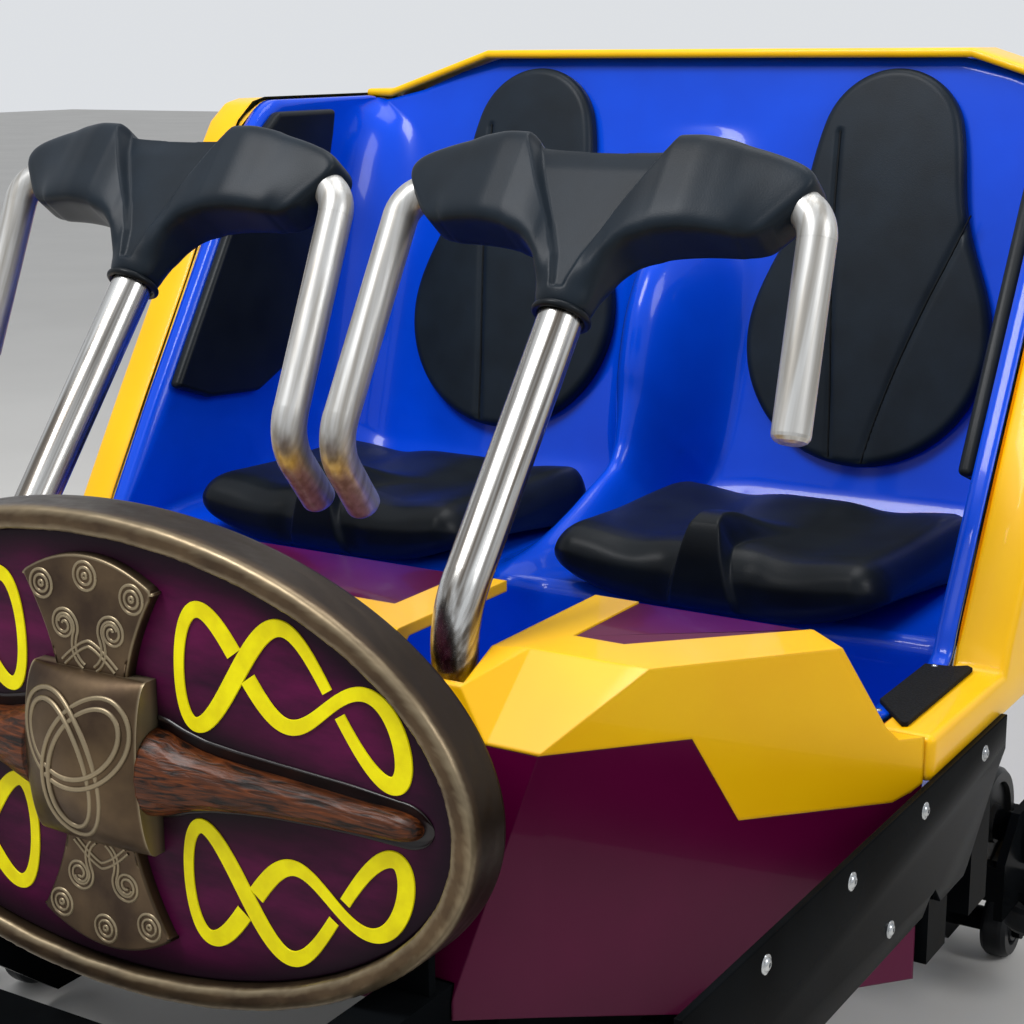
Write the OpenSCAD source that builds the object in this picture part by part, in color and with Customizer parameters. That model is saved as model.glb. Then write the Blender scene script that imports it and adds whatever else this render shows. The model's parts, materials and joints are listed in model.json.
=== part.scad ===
// Two-seat roller coaster car with an oval front shield, in millimetres.
// The front is -Y, +Z is up, and the origin is on the floor under the middle of the car.

/* [Overall] */
// Width over the side skirts
body_w = 1480; // [1440:10:1560]
// Distance between the two seat centres
seat_pitch = 620; // [600:5:640]
// Width of the hollow boxes beside the tub
side_box_w = 92; // [88:1:96]
// Wall of the moulded tub, cowls and nose
shell_t = 8; // [6:1:10]
// Gap between neighbouring panels that are screwed together
panel_gap = 0.3; // [0.3:0.1:0.5]
// Gap between the cowl and the sill behind it
seam_gap = 2; // [1:0.5:4]

/* [Heights] */
// Underside of the longitudinal frame tubes
frame_z = 330; // [325:5:345]
// Top of the step on the sill
sill_z = 615; // [605:5:625]
// Top of the seat pan
pan_z = 602; // [596:2:608]
// Top of the cowl and the knee deck
cowl_z = 720; // [710:5:730]
// Top edge of the side walls
shoulder_z = 1236; // [1220:2:1250]
// Top of the raised middle of the backrest
back_top_z = 1306; // [1290:2:1320]

/* [Running gear] */
// Distance between the centres of the two running rails
track_gauge = 1180; // [1160:10:1200]
// Diameter of the tubular rail that the wheels embrace
rail_d = 76; // [70:1:80]
// Running clearance between rail and wheels
rail_gap = 3; // [2:0.5:5]
// Place of the front axle
front_axle_y = -500; // [-520:5:-480]
// Place of the rear axle
rear_axle_y = 300; // [280:5:320]
// Diameter of the load wheels
load_d = 160; // [150:2:164]
// Width of the load wheels
load_w = 50; // [40:1:56]
// Diameter of the guide wheels
guide_d = 100; // [90:1:104]
// Width of the guide wheels
guide_w = 40; // [30:1:42]
// Diameter of the up-stop wheels
upstop_d = 100; // [90:1:110]
// Width of the up-stop wheels
upstop_w = 40; // [30:1:46]
// Distance of the up-stop wheels behind their axle
upstop_back = 130; // [120:5:140]
// Diameter of the load wheel pins
load_pin_d = 30; // [24:1:36]
// Diameter of the guide and up-stop wheel pins
small_pin_d = 24; // [20:1:26]

/* [Frame] */
// Width of the longitudinal frame tubes
rail_tube_w = 60; // [50:1:70]
// Height of the longitudinal frame tubes
rail_tube_h = 80; // [70:1:80]
// Wall of the frame tubes
frame_t = 5; // [4:0.5:6]
// Side of the square axle tubes
axle_tube = 80; // [70:1:80]
// Thickness of the skirt plates
skirt_t = 8; // [6:1:10]
// Height of the skirt plates
skirt_h = 146; // [130:2:150]

/* [Restraint] */
// Diameter of the restraint post
post_d = 50.8; // [45:0.1:52]
// Diameter of the grab tubes
grab_d = 42.4; // [38:0.1:44]
// Lean of the post from the vertical
post_lean = 38; // [36:0.5:40]
// Diameter of the fixed pivot pin
pivot_pin_d = 30; // [24:1:34]
// Half spread of the grab tubes where they enter the head
grab_x = 244; // [240:1:246]

/* [Seat] */
// Half width of a seat cushion
cushion_half_w = 240; // [225:1:242]
// Height of a seat cushion
cushion_h = 92; // [80:1:96]
// Thickness of a back pad
back_pad_t = 36; // [30:1:40]

/* [Shield] */
// Half width of the oval shield
shield_a = 466; // [450:1:480]
// Half height of the oval shield
shield_b = 262; // [250:1:270]
// Width of the rim as seen from the front
rim_w = 26; // [20:1:32]
// Depth of the rim
rim_t = 60; // [50:1:66]

/* [Hidden] */
$fn = 48;

seat_x = seat_pitch / 2;
skirt_x = body_w / 2 - skirt_t;
side_x = skirt_x - panel_gap;
tub_out = body_w / 2 - side_box_w;
tub_half_w = tub_out - shell_t;
flange_w = 20;
flange_min = 0.4;
side_in = tub_out + flange_w + panel_gap;
seam_y = -336;

frame_top = frame_z + rail_tube_h;
pan_t = 10;
tub_floor = frame_top + pan_t + panel_gap + shell_t;
skirt_top = 570;

upstop_z = upstop_d / 2;
rail_z = upstop_d + rail_gap + rail_d / 2;
load_z = rail_z + rail_d / 2 + load_d / 2;
rail_x = track_gauge / 2;
guide_x = rail_x + rail_d / 2 + guide_d / 2 + 1;
bore_gap = 0.05;

// Frame
rail_tube_x = 350;
frame_front = -920;
frame_rear = 640;
support_y = [340, 400];
support_x = tub_half_w - 40;
eye_y = 896;
cross_tube = 60;
outrigger_y = [-300, -160];
ear_t = 10;
ear_top = 535;

// Nose and cowl: the plan is an arrow with a blunt tip, its flanks at nose_turn to the length
flank_x = side_x;
flank_run = 286.7;
tip_x = flank_x - flank_run;
tip_y = -656;
nose_turn = 49;
panel_t = 6;
trim_t = 14;
trim_y = 612;
trim_w = 118;
flank_y = tip_y + (flank_x - tip_x) * tan(nose_turn);
nose_y0 = -742;
nose_z1 = 362;
nose_z0 = frame_z + 4;
wheel_room = 8;
deck_rear = -369;
brow_y = -661;
brow_top_y = -573;
lip_z = 642;
lip_blend = 38;
slot_y = -642;
slot_in = 85;
slot_out = 32;
fin_w = 55;
deck_t = 5;
strip_w = 58;

// Tub: rows from the front of the floor to the top of the back.
// Columns are base y, base z, edge y, edge z, corner radius, hump height, hump half width,
// and 1 in the row that carries the raised middle of the backrest.
back_slope = 0.27;
crown_foot = tub_half_w - 44;
crown_flat = crown_foot - 178;
back_y0 = 483;
back_z0 = 716;
function back_y(z) = back_y0 + (z - back_z0) * back_slope;
sill_top = sill_z - 3;
TUB = [
    [-362, tub_floor, -362, sill_top, 50, 0, 60],
    [-270, tub_floor, -338, sill_top, 50, 0, 60],
    [-150, tub_floor, -290, sill_top, 50, 0, 60],
    [-40, tub_floor, -230, sill_top, 50, 0, 60],
    [-14, tub_floor + 12, -205, sill_top, 50, 0, 60],
    [-2, tub_floor + 40, -180, sill_top, 50, 4, 60],
    [0, pan_z - 50, -150, sill_top, 46, 10, 60],
    [4, pan_z - 14, -112, sill_top, 40, 18, 60],
    [20, pan_z, -94, sill_z + 6, 50, 26, 62],
    [60, pan_z, -78, sill_z + 35, 66, 40, 64],
    [150, pan_z, -50, 697, 74, 62, 65],
    [250, pan_z, 4, 786, 78, 90, 66],
    [330, pan_z, 50, 858, 90, 118, 66],
    [392, pan_z, 86, 914, 110, 140, 66],
    [430, pan_z + 12, 112, 955, 130, 160, 72],
    [456, pan_z + 44, 134, 990, 140, 176, 84],
    [back_y(668) - 1, 668, 150, 1015, 136, 186, 98],
    [back_y(716), 716, 166, 1040, 136, 192, 110],
    [back_y(790), 790, 190, 1078, 134, 186, 115],
    [back_y(870), 870, 214, 1116, 134, 164, 117],
    [back_y(950), 950, 238, 1154, 134, 126, 117],
    [back_y(1030), 1030, 262, 1192, 140, 78, 116],
    [back_y(1100), 1100, 330, shoulder_z, 130, 36, 114],
    [back_y(1160), 1160, 430, shoulder_z, 110, 10, 110],
    [back_y(1200), 1200, 520, shoulder_z, 74, 0, 100],
    [back_y(shoulder_z - 6), shoulder_z - 6, 598, shoulder_z, 24, 0, 100, 1]
];

// Restraint, measured from the pivot pin
pivot_y = -600;
pivot_z = 480;
collar_y = -390;
collar_z = 1035;
post_bend_y = -609;
post_bend_z = collar_z - (collar_y + 609) / tan(post_lean);
post_bend_r = 120;
bend_lap = 1;
bend_swell = 0.4;

// Shield
shield_y = -822;
shield_z = 608;
board_in = 18;
boss_half = 78;

module at_side(side) {
    mirror([side > 0 ? 0 : 1, 0, 0]) children();
}

// A profile in Y and Z, extruded along X between two places
module along_x(x0, x1) {
    translate([x0, 0, 0]) rotate([90, 0, 90]) linear_extrude(x1 - x0) children();
}

module box(x0, x1, y0, y1, z0, z1) {
    translate([x0, y0, z0]) cube([x1 - x0, y1 - y0, z1 - z0]);
}

// A closed mesh through rings of points, with flat ends, or ends filled by a strip where the
// second half of each ring runs back beside the first
module loft(rings, strip = false) {
    n = len(rings[0]);
    m = len(rings);
    last = (m - 1) * n;
    pts = [for (ring = rings) for (p = ring) p];
    sides = [
        for (k = [0:m - 2]) for (i = [0:n - 1])
            let(a = k * n + i, b = k * n + (i + 1) % n)
            each [[a, b, b + n], [a, b + n, a + n]]
    ];
    ends = strip
        ? [for (i = [0:n / 2 - 2]) let(j = n - 1 - i)
            each [[j, i + 1, i], [j, j - 1, i + 1], [last + i, last + i + 1, last + j],
                [last + i + 1, last + j - 1, last + j]]]
        : [[for (i = [n - 1:-1:0]) i], [for (i = [0:n - 1]) last + i]];
    polyhedron(points = pts, faces = concat(sides, ends), convexity = 8);
}

// Frame

module tube_along_y(x, z, w, h, y0, y1) {
    difference() {
        box(x - w / 2, x + w / 2, y0, y1, z, z + h);
        box(x - w / 2 + frame_t, x + w / 2 - frame_t, y0 - 1, y1 + 1, z + frame_t, z + h - frame_t);
    }
}

// A folded channel across the car, open below
module channel(x0, x1, y0, y1, z0, z1) {
    difference() {
        box(x0, x1, y0, y1, z0, z1);
        box(x0 + frame_t, x1 - frame_t, y0 + frame_t, y1 - frame_t, z0 - 1, z1 - frame_t);
    }
}

module chassis_frame() {
    rail_in = rail_tube_x - rail_tube_w / 2;
    rail_out = rail_tube_x + rail_tube_w / 2;
    beam_z = frame_top - cross_tube;
    beam = cross_tube / 2;
    support_z = pan_z - shell_t - panel_gap;
    color("#17181A") {
        for (side = [1, -1])
            tube_along_y(side * rail_tube_x, frame_z, rail_tube_w, rail_tube_h,
                frame_front, frame_rear - cross_tube);
        // Bumper under the front ends of the tubes and beam across their rear ends
        channel(-skirt_x, skirt_x, frame_front, frame_front + cross_tube,
            frame_z - cross_tube, frame_z);
        box(-rail_out, rail_out, frame_rear - cross_tube, frame_rear, frame_z, frame_top);
        // Cross members, and outriggers that carry the skirt plates
        for (y = concat(outrigger_y, [pivot_y]))
            channel(-rail_in, rail_in, y - beam, y + beam, beam_z, frame_top);
        for (y = outrigger_y, side = [1, -1]) at_side(side)
            channel(rail_out, skirt_x, y - beam, y + beam, beam_z, frame_top);
        for (y = concat(outrigger_y, [frame_front + beam]), side = [1, -1]) at_side(side)
            box(skirt_x - ear_t, skirt_x, y - beam, y + beam, frame_top - cross_tube, ear_top);
        for (side = [1, -1]) at_side(side)
            box(skirt_x - ear_t, skirt_x, frame_front, frame_front + cross_tube, frame_z, ear_top);
        // Stand under the seats
        for (side = [1, -1])
            box(side * rail_tube_x - 25, side * rail_tube_x + 25, support_y[0], support_y[1],
                frame_top, support_z - cross_tube);
        channel(-support_x, support_x, support_y[0], support_y[1], support_z - cross_tube, support_z);
    }
}

module floor_pan() {
    half = [
        [390, -700], [390, -560], [tub_half_w - 20, -380], [tub_half_w, -350], [tub_half_w, 10],
        [390, 10], [390, frame_rear - cross_tube - 4]
    ];
    color("#26282B") translate([0, 0, frame_top]) linear_extrude(pan_t) difference() {
        polygon(concat(half, [for (i = [len(half) - 1:-1:0]) [-half[i][0], half[i][1]]]));
        for (side = [1, -1])
            translate([side * rail_tube_x - 26, support_y[0] - 1])
                square([52, support_y[1] - support_y[0] + 2]);
    }
}

module skirt_plate(side) {
    z0 = skirt_top - skirt_h;
    color("#141516") at_side(side) along_x(skirt_x, skirt_x + skirt_t) polygon([
        [-940, skirt_top], [-108, skirt_top], [-108, skirt_top - 42], [-134, skirt_top - 60],
        [-228, z0 + 4], [-240, z0 - 4], [-316, z0 - 4], [-334, z0 + 16], [-350, z0 + 14],
        [-372, z0], [-900, z0], [-940, z0 + 40]
    ]);
}

module front_axle() {
    axle(front_axle_y);
}

module rear_axle() {
    axle(rear_axle_y);
}

carrier_in = rail_x - 85;
plate_t = 18;

module axle(y) {
    r = carrier_in;
    color("#1B1C1E") {
        difference() {
            box(-r, r, y - axle_tube / 2, y + axle_tube / 2, frame_z - axle_tube, frame_z);
            box(-r + 12, r - 12, y - axle_tube / 2 + frame_t, y + axle_tube / 2 - frame_t,
                frame_z - axle_tube + frame_t, frame_z - frame_t);
        }
    }
}

module pin_x(x0, x1, y, z, d) {
    translate([x0, y, z]) rotate([0, 90, 0]) cylinder(d = d, h = x1 - x0);
}

bridge_x1 = rail_x + 60;
flange_z = rail_z + guide_w / 2 + 9;

module wheel_carrier(side, y) {
    low = upstop_z - 26;
    color("#0E0F10") at_side(side) translate([0, y, 0]) {
        along_x(carrier_in, carrier_in + plate_t) polygon([
            [-62, frame_z], [-118, frame_z - 70], [-118, 190], [upstop_back - 40, low],
            [upstop_back + 40, low], [upstop_back + 44, 150], [118, frame_z - 70], [62, frame_z]
        ]);
        for (k = [1, -1])
            box(carrier_in + plate_t, bridge_x1, k * 106 - 11, k * 106 + 11, 196, 246);
        along_x(bridge_x1, bridge_x1 + 12) polygon([
            [-117, flange_z], [117, flange_z], [117, 250], [60, load_z + 46],
            [-60, load_z + 46], [-117, 250]
        ]);
        box(bridge_x1, guide_x + 26, -40, 40, flange_z, flange_z + 12);
        // Load wheel pin with its spacers and hub cap
        pin_x(carrier_in + plate_t, bridge_x1, 0, load_z, load_pin_d);
        pin_x(carrier_in + plate_t, rail_x - load_w / 2 - 0.5, 0, load_z, load_pin_d + 14);
        pin_x(rail_x + load_w / 2 + 0.5, bridge_x1, 0, load_z, load_pin_d + 14);
        translate([bridge_x1 + 12, 0, load_z]) rotate([0, 90, 0]) rotate_extrude() polygon([
            [0, 0], [46, 0], [46, 8], [42, 16], [34, 23], [20, 28], [0, 30]
        ]);
        // Up-stop wheel pin
        translate([0, upstop_back, 0]) {
            pin_x(carrier_in + plate_t, rail_x + upstop_w / 2 + 12, 0, upstop_z, small_pin_d);
            pin_x(carrier_in + plate_t, rail_x - upstop_w / 2 - 0.5, 0, upstop_z, small_pin_d + 12);
            pin_x(rail_x + upstop_w / 2 + 0.5, rail_x + upstop_w / 2 + 12, 0, upstop_z, small_pin_d + 12);
        }
        // Guide wheel pin
        translate([guide_x, 0, rail_z - guide_w / 2 - 10]) {
            cylinder(d = small_pin_d, h = flange_z - rail_z + guide_w / 2 + 10);
            cylinder(d = small_pin_d + 10, h = 9.5);
        }
        translate([guide_x, 0, rail_z + guide_w / 2 + 0.5])
            cylinder(d = small_pin_d + 10, h = flange_z - rail_z - guide_w / 2 - 0.5);
    }
}

// A wheel on the Z axis, its middle at the origin: hub, web and a tread with round shoulders
module wheel(d, w, bore_r) {
    hub_r = bore_r + 11;
    rim_r = d / 2 - 20;
    rotate_extrude($fn = 64) polygon([
        [bore_r, -w / 2], [hub_r, -w / 2], [hub_r + 2, -w / 2 + 8], [rim_r - 2, -w / 2 + 8],
        [rim_r, -w / 2 + 1], [d / 2 - 6, -w / 2 + 1], [d / 2 - 1, -w / 2 + 7], [d / 2, -w / 2 + 12],
        [d / 2, w / 2 - 12], [d / 2 - 1, w / 2 - 7], [d / 2 - 6, w / 2 - 1], [rim_r, w / 2 - 1],
        [rim_r - 2, w / 2 - 8], [hub_r + 2, w / 2 - 8], [hub_r, w / 2], [bore_r, w / 2]
    ]);
}

module load_wheel(side, y) {
    color("#2A2C2E") at_side(side) translate([rail_x, y, load_z]) rotate([0, 90, 0])
        wheel(load_d, load_w, load_pin_d / 2 + bore_gap);
}

module guide_wheel(side, y) {
    color("#2A2C2E") at_side(side) translate([guide_x, y, rail_z])
        wheel(guide_d, guide_w, small_pin_d / 2 + bore_gap);
}

module upstop_wheel(side, y) {
    color("#2A2C2E") at_side(side) translate([rail_x, y + upstop_back, upstop_z]) rotate([0, 90, 0])
        wheel(upstop_d, upstop_w, small_pin_d / 2 + bore_gap);
}

module rear_drawbar() {
    z = frame_z + rail_tube_h / 2;
    color("#1B1C1E") difference() {
        union() {
            box(-90, 90, frame_rear, frame_rear + 16, z - 40, z + 40);
            box(-28, 28, frame_rear + 16, eye_y, z - 22, z + 22);
            translate([0, eye_y, z - 22]) cylinder(d = 88, h = 44);
        }
        translate([0, eye_y, z - 23]) cylinder(d = 32, h = 46);
    }
}

// Nose and cowl

module nose_plan(inset) {
    offset(delta = -inset) polygon([
        [-flank_x, seam_y + 60], [-flank_x, flank_y], [-tip_x, tip_y], [-tip_x + 73, tip_y - 90],
        [tip_x - 73, tip_y - 90], [tip_x, tip_y], [flank_x, flank_y], [flank_x, seam_y + 60]
    ]);
}

module nose_side(inset) {
    offset(delta = -inset) polygon([
        [seam_y + 60, nose_z0 - 40], [nose_y0, nose_z0 - 40], [nose_y0, nose_z1], [brow_y, lip_z],
        [brow_top_y, cowl_z], [seam_y + 60, cowl_z]
    ]);
}

// A profile that is drawn along a flank and over its height, and runs square to the flank
module flank_prism(side) {
    at_side(side) translate([tip_x, tip_y, 0]) rotate([0, 0, nose_turn]) rotate([90, 0, 0])
        translate([0, 0, -400]) linear_extrude(600) children();
}

// Behind the knee the cowl drops to the sill
module knee_drop(inset) {
    offset(delta = inset) polygon([
        [322, cowl_z], [376, cowl_z - 93], [391, sill_top], [700, sill_top], [700, 900], [322, 900]
    ]);
}

// The whole nose, trimmed behind the seam and under the skirt line
module nose_form(inset) {
    intersection() {
        translate([0, 0, nose_z0 - 60]) linear_extrude(600) nose_plan(inset);
        along_x(-800, 800) nose_side(inset);
        difference() {
            translate([-900, -1000, 0]) cube([1800, 1000, 1400]);
            for (side = [1, -1]) flank_prism(side) knee_drop(inset);
        }
    }
}

// The brow bulges forward round the foot of each post
module post_lip(x) {
    hull() {
        along_x(x - slot_in, x + slot_out)
            polygon([[brow_y, lip_z], [brow_y + 13, lip_z + 51], [-588, cowl_z], [brow_top_y, cowl_z]]);
        along_x(x - slot_in - lip_blend, x + slot_out + lip_blend)
            polygon([[brow_y, lip_z], [brow_top_y, cowl_z], [brow_top_y, lip_z]]);
    }
}

module below(z) {
    translate([-900, -1000, z - 900]) cube([1800, 2000, 900]);
}

// What lies under the line between nose and cowl: level in front, stepped along the flanks
module nose_region() {
    intersection() {
        below(lip_z);
        union() {
            translate([-tip_x, -1000, 0]) cube([2 * tip_x, 1000 + seam_y, 900]);
            for (side = [1, -1]) flank_prism(side) polygon([
                [-1, 0], [-1, lip_z], [157, lip_z - 1], [210, 546], [386, 543], [408, 552],
                [436, 570], [520, 570], [520, 0]
            ]);
        }
    }
}

module behind(y) {
    translate([-900, y, 0]) cube([1800, 900, 1400]);
}

// Room for the frame tubes and the load wheels that pass under the nose
module frame_room(gap) {
    for (side = [1, -1]) {
        translate([side * rail_tube_x - rail_tube_w / 2 - gap, -900, frame_z - 50])
            cube([rail_tube_w + 2 * gap, 900, rail_tube_h + 50 + gap]);
        at_side(side) pin_x(rail_x - load_w / 2 - wheel_room, rail_x + load_w / 2 + wheel_room,
            front_axle_y, load_z, load_d + 2 * wheel_room);
    }
}

// The lower edge of the nose rises towards the tip
module nose_foot() {
    along_x(-800, 800) polygon([
        [-900, 0], [-900, nose_z0 + 71], [nose_y0 + 214, nose_z0], [0, nose_z0], [0, 0]
    ]);
}

module nose_shell() {
    color("#520030") difference() {
        intersection() {
            nose_form(0.5);
            nose_region();
        }
        nose_form(shell_t);
        nose_foot();
        behind(seam_y - seam_gap);
        frame_room(2);
        tub_room(deck_rear - 11);
    }
}

module cowl_all() {
    difference() {
        union() {
            nose_form(0);
            for (s = [1, -1]) post_lip(s * seat_x);
        }
        nose_form(shell_t + deck_t);
        nose_region();
        post_slots();
        translate([0, 0, cowl_z - deck_t]) linear_extrude(deck_t + 5) deck_plan(deck_rear + 5);
        behind(seam_y - seam_gap);
        tub_room(deck_rear);
    }
}

// Room for the tub behind a place
module tub_room(y) {
    half = tub_out + flange_min + panel_gap;
    translate([-half, y, 0]) cube([2 * half, 400, 1200]);
}

module post_slots() {
    for (x = [seat_x, -seat_x])
        translate([x - slot_in, slot_y, 500]) cube([slot_in + slot_out, 400, 400]);
}

// The three panels of the knee deck between the posts and the flanks
module deck_plan(rear) {
    fin = slot_out + fin_w;
    left = seat_x - slot_in - strip_w;
    right = -seat_x - slot_in - 40;
    near = tip_x + 12;
    far = tub_half_w - 39;
    polygon([
        [seat_x + fin, -514], [near, -514], [far, deck_rear - 1], [far, rear], [seat_x + fin, rear]
    ]);
    polygon([[fin - seat_x, -512], [left, -512], [left, rear], [fin - seat_x, rear]]);
    polygon([
        [right, -514], [-near, -514], [-far, deck_rear - 1], [-far, rear], [right, rear]
    ]);
}

module cowl(side) {
    split = seat_x - slot_in;
    color("#F5C400") intersection() {
        cowl_all();
        translate([side > 0 ? split : split - 1200 - panel_gap, -900, 0]) cube([1200, 900, 1400]);
    }
}

module knee_deck() {
    color("#520030") translate([0, 0, cowl_z - deck_t]) linear_extrude(deck_t - 1)
        offset(delta = -panel_gap) deck_plan(deck_rear);
}

// Tub

// One cross-section: across the base, round the corner and up the wall to the edge.
// out is 0 for the face that the rider sees and the wall thickness for the outer face.
function tub_hump(x, h, w) = abs(x) >= w ? 0 : h * (0.5 + 0.5 * cos(180 * x / w));
// Height of the raised middle of the backrest over the shoulder line
function crown(x) =
    (back_top_z - shoulder_z) * min(1, max(0, (crown_foot - abs(x)) / (crown_foot - crown_flat)));
// The wall is measured along the row's own plane, so it grows where the pan crosses that plane
function tub_drop(k) =
    let(
        row = TUB[k],
        a = TUB[max(0, k - 1)],
        c = TUB[min(len(TUB) - 1, k + 1)],
        t = [c[0] - a[0], c[1] - a[1]],
        u = [row[2] - row[0], row[3] - row[1]]
    )
    shell_t / max(0.35, abs(t[0] * u[1] - t[1] * u[0]) / norm(t) / norm(u));
function tub_ring(row, out, drop) =
    let(
        b = [row[0], row[1]],
        e = [row[2], row[3]],
        reach = norm(e - b),
        u = (e - b) / reach,
        r = min(row[4], reach * 0.7),
        w = tub_half_w,
        flat = w - r,
        f = max(flange_min, flange_w * min(1, (row[2] + 338) / 48)),
        half = concat(
            [for (f = [0, 0.2, 0.4, 0.6, 0.8, 1]) let(x = row[6] * f)
                [x, tub_hump(x, row[5], row[6]) - drop]],
            [for (f = [0.4, 0.75]) [row[6] + (flat - row[6]) * f, -drop]],
            [for (i = [0:5])
                let(q = drop + (out - drop) * i / 5)
                [flat + (r + q) * sin(i * 18), r - (r + q) * cos(i * 18)]],
            out > 0
                ? [[w + out, reach - shell_t], [w + shell_t + f, reach - shell_t]]
                : [[w, reach], [w + shell_t + f, reach]]
        ),
        full = concat(
            [for (i = [len(half) - 1:-1:1]) [-half[i][0], half[i][1]]],
            half
        )
    )
    [for (p = full)
        let(lift = row[7] == undef ? 0 : crown(p[0]))
        [p[0], b[0] + u[0] * p[1] + lift * back_slope, b[1] + u[1] * p[1] + lift]];

module seat_tub() {
    rings = [
        for (k = [0:len(TUB) - 1])
            let(face = tub_ring(TUB[k], 0, 0), outer = tub_ring(TUB[k], shell_t, tub_drop(k)))
            concat(face, [for (i = [len(outer) - 1:-1:0]) outer[i]])
    ];
    color("#0030D8") loft(rings, strip = true);
}

// Side panels, back cover and trim

side_z0 = skirt_top - 10;
SIDE = [
    [seam_y, side_z0], [seam_y, sill_top], [-96, sill_top], [-82, sill_z + 26],
    [-54, sill_z + 72], [10, 792], [125, 975], [236, 1168], [262, 1206], [300, shoulder_z - 2],
    [330, shoulder_z + 4], [688, shoulder_z + 4], [720, shoulder_z - 8], [668, 760],
    [646, 588], [636, side_z0]
];

module side_panel(side) {
    x0 = side_in;
    color("#F5C400") at_side(side) difference() {
        along_x(x0, side_x) polygon(SIDE);
        along_x(x0 - 1, side_x - panel_t) offset(delta = -panel_t) polygon(SIDE);
    }
}

// Outline of the backrest's top edge from the front, raised by rise, out to the tub's walls
back_half = tub_out + flange_w;
function crown_line(rise) = [
    [-back_half, shoulder_z + rise], [-crown_foot - 20, shoulder_z + rise],
    [-crown_flat, back_top_z - 6 + rise], [crown_flat, back_top_z - 6 + rise],
    [crown_foot + 20, shoulder_z + rise], [back_half, shoulder_z + rise]
];

module back_cover() {
    foot = frame_top + panel_gap;
    low = rail_tube_x + rail_tube_w / 2 + 4;
    color("#0030D8") intersection() {
        along_x(-back_half, back_half) polygon([
            [736, 1310], [664, 760], [638, 562], [628, 500], [620, foot],
            [626, foot], [634, 500], [644, 562], [670, 758], [742, 1310]
        ]);
        translate([0, 1000, 0]) rotate([90, 0, 0]) linear_extrude(1000)
            polygon(concat(crown_line(0), [
                [back_half, side_z0], [low + 46, side_z0], [low, foot + 60], [low, 300],
                [-low, 300], [-low, foot + 60], [-low - 46, side_z0], [-back_half, side_z0]
            ]));
    }
}

module top_trim() {
    upper = crown_line(trim_t);
    color("#F5C400") translate([0, trim_y + trim_w, 0]) rotate([90, 0, 0]) linear_extrude(trim_w)
        polygon(concat(crown_line(panel_gap), [for (i = [5:-1:0]) upper[i]]));
}

module step_pads() {
    inner = tub_half_w + 2;
    outer = side_x - 36;
    color("#1A1C1E") for (side = [1, -1]) at_side(side)
        translate([0, 0, sill_top + panel_gap]) linear_extrude(6) polygon([
            [inner, -118], [inner, -262], [inner + 22, -290], [outer - 6, -322], [outer, -318],
            [outer, -106], [outer - 8, -100], [inner + 30, -112]
        ]);
}

module side_pads() {
    color("#15171A") for (side = [1, -1]) at_side(side)
        along_x(tub_half_w - 22, tub_half_w - panel_gap) polygon([
            [30, 812], [110, 784], [230, 776], [300, 806], [346, 880], [392, 990], [430, 1100],
            [452, 1180], [460, 1220], [306, 1220], [262, 1186], [140, 990]
        ]);
}

module back_pad(side) {
    lean = atan(back_slope);
    z0 = 703;
    bulb = 190;
    crest = 110;
    color("#1C2226") translate([side * seat_x, back_y(z0) - panel_gap, z0]) rotate([-lean, 0, 0])
        rotate([90, 0, 0]) linear_extrude(back_pad_t) hull() {
            translate([0, bulb]) circle(r = bulb, $fn = 72);
            translate([0, 597 - crest]) circle(r = crest, $fn = 48);
        }
}

// Cushion: one rounded section swept across the seat, with a raised wedge in the middle
function cushion_top(x) = abs(x) > 44 ? 0 : 50 * (1 - abs(x) / 44);
CUSHION = [
    [-14, 0], [-26, 12], [-33, 30], [-34, 46], [-29, 64], [-18, 79], [0, 89], [24, 92], [60, 90],
    [180, 86], [300, 86], [352, 80], [370, 60], [376, 20], [370, 0]
];
function cushion_ring(x) =
    let(
        tuck = max(0, abs(x) - cushion_half_w + 46) / 46,
        rise = cushion_top(x),
        k = cushion_h / 92
    )
    [for (p = CUSHION)
        let(
            front = p[0] < 60 ? 1 : max(0, 1 - (p[0] - 60) / 120),
            lean = rise * (p[1] > 40 ? 0.4 : 0.2),
            y = p[0] < 0 ? p[0] + 70 * tuck * tuck - lean : p[0] - (p[0] > 290 ? 60 * tuck * tuck : 0),
            z = p[1] * k * (1 - 0.35 * tuck * tuck) + (p[1] > 60 ? rise * front : 0)
        )
        [x, y, z]];

module seat_cushion(side) {
    xs = [-240, -232, -216, -194, -150, -100, -60, -44, -22, 0, 22, 44, 60, 100, 150, 194, 216, 232, 240];
    color("#1C2226") translate([side * seat_x, 0, pan_z + panel_gap])
        loft([for (x = xs) cushion_ring(x * cushion_half_w / 240)]);
}

// Shield

module oval(a, b) {
    resize([2 * a, 2 * b]) circle(r = 100, $fn = 96);
}

module shield_slab(a, b, y0, y1) {
    translate([0, y1, shield_z]) rotate([90, 0, 0]) linear_extrude(y1 - y0) oval(a, b);
}

module shield_rim() {
    color("#5D5142") difference() {
        shield_slab(shield_a, shield_b, shield_y, shield_y + rim_t);
        shield_slab(shield_a - rim_w, shield_b - rim_w, shield_y - 1, shield_y + rim_t + 1);
    }
}

module shield_board() {
    inset = rim_w + panel_gap;
    color("#3A1230")
        shield_slab(shield_a - inset, shield_b - inset, shield_y + board_in, shield_y + rim_t - 10);
}

module shield_strap() {
    half = [
        [46, 0], [46, 74], [60, 120], [84, 168], [88, 196], [60, 214], [0, 222],
        [-60, 214], [-88, 196], [-84, 168], [-60, 120], [-46, 74], [-46, 0]
    ];
    color("#5D5142") translate([0, shield_y + board_in - panel_gap, shield_z]) {
        rotate([90, 0, 0]) linear_extrude(14) {
            polygon(half);
            mirror([0, 1]) polygon(half);
        }
        intersection() {
            scale([1, 0.46, 1]) sphere(r = 100);
            translate([-boss_half, -100, -92]) cube([2 * boss_half, 90, 184]);
        }
    }
}

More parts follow.
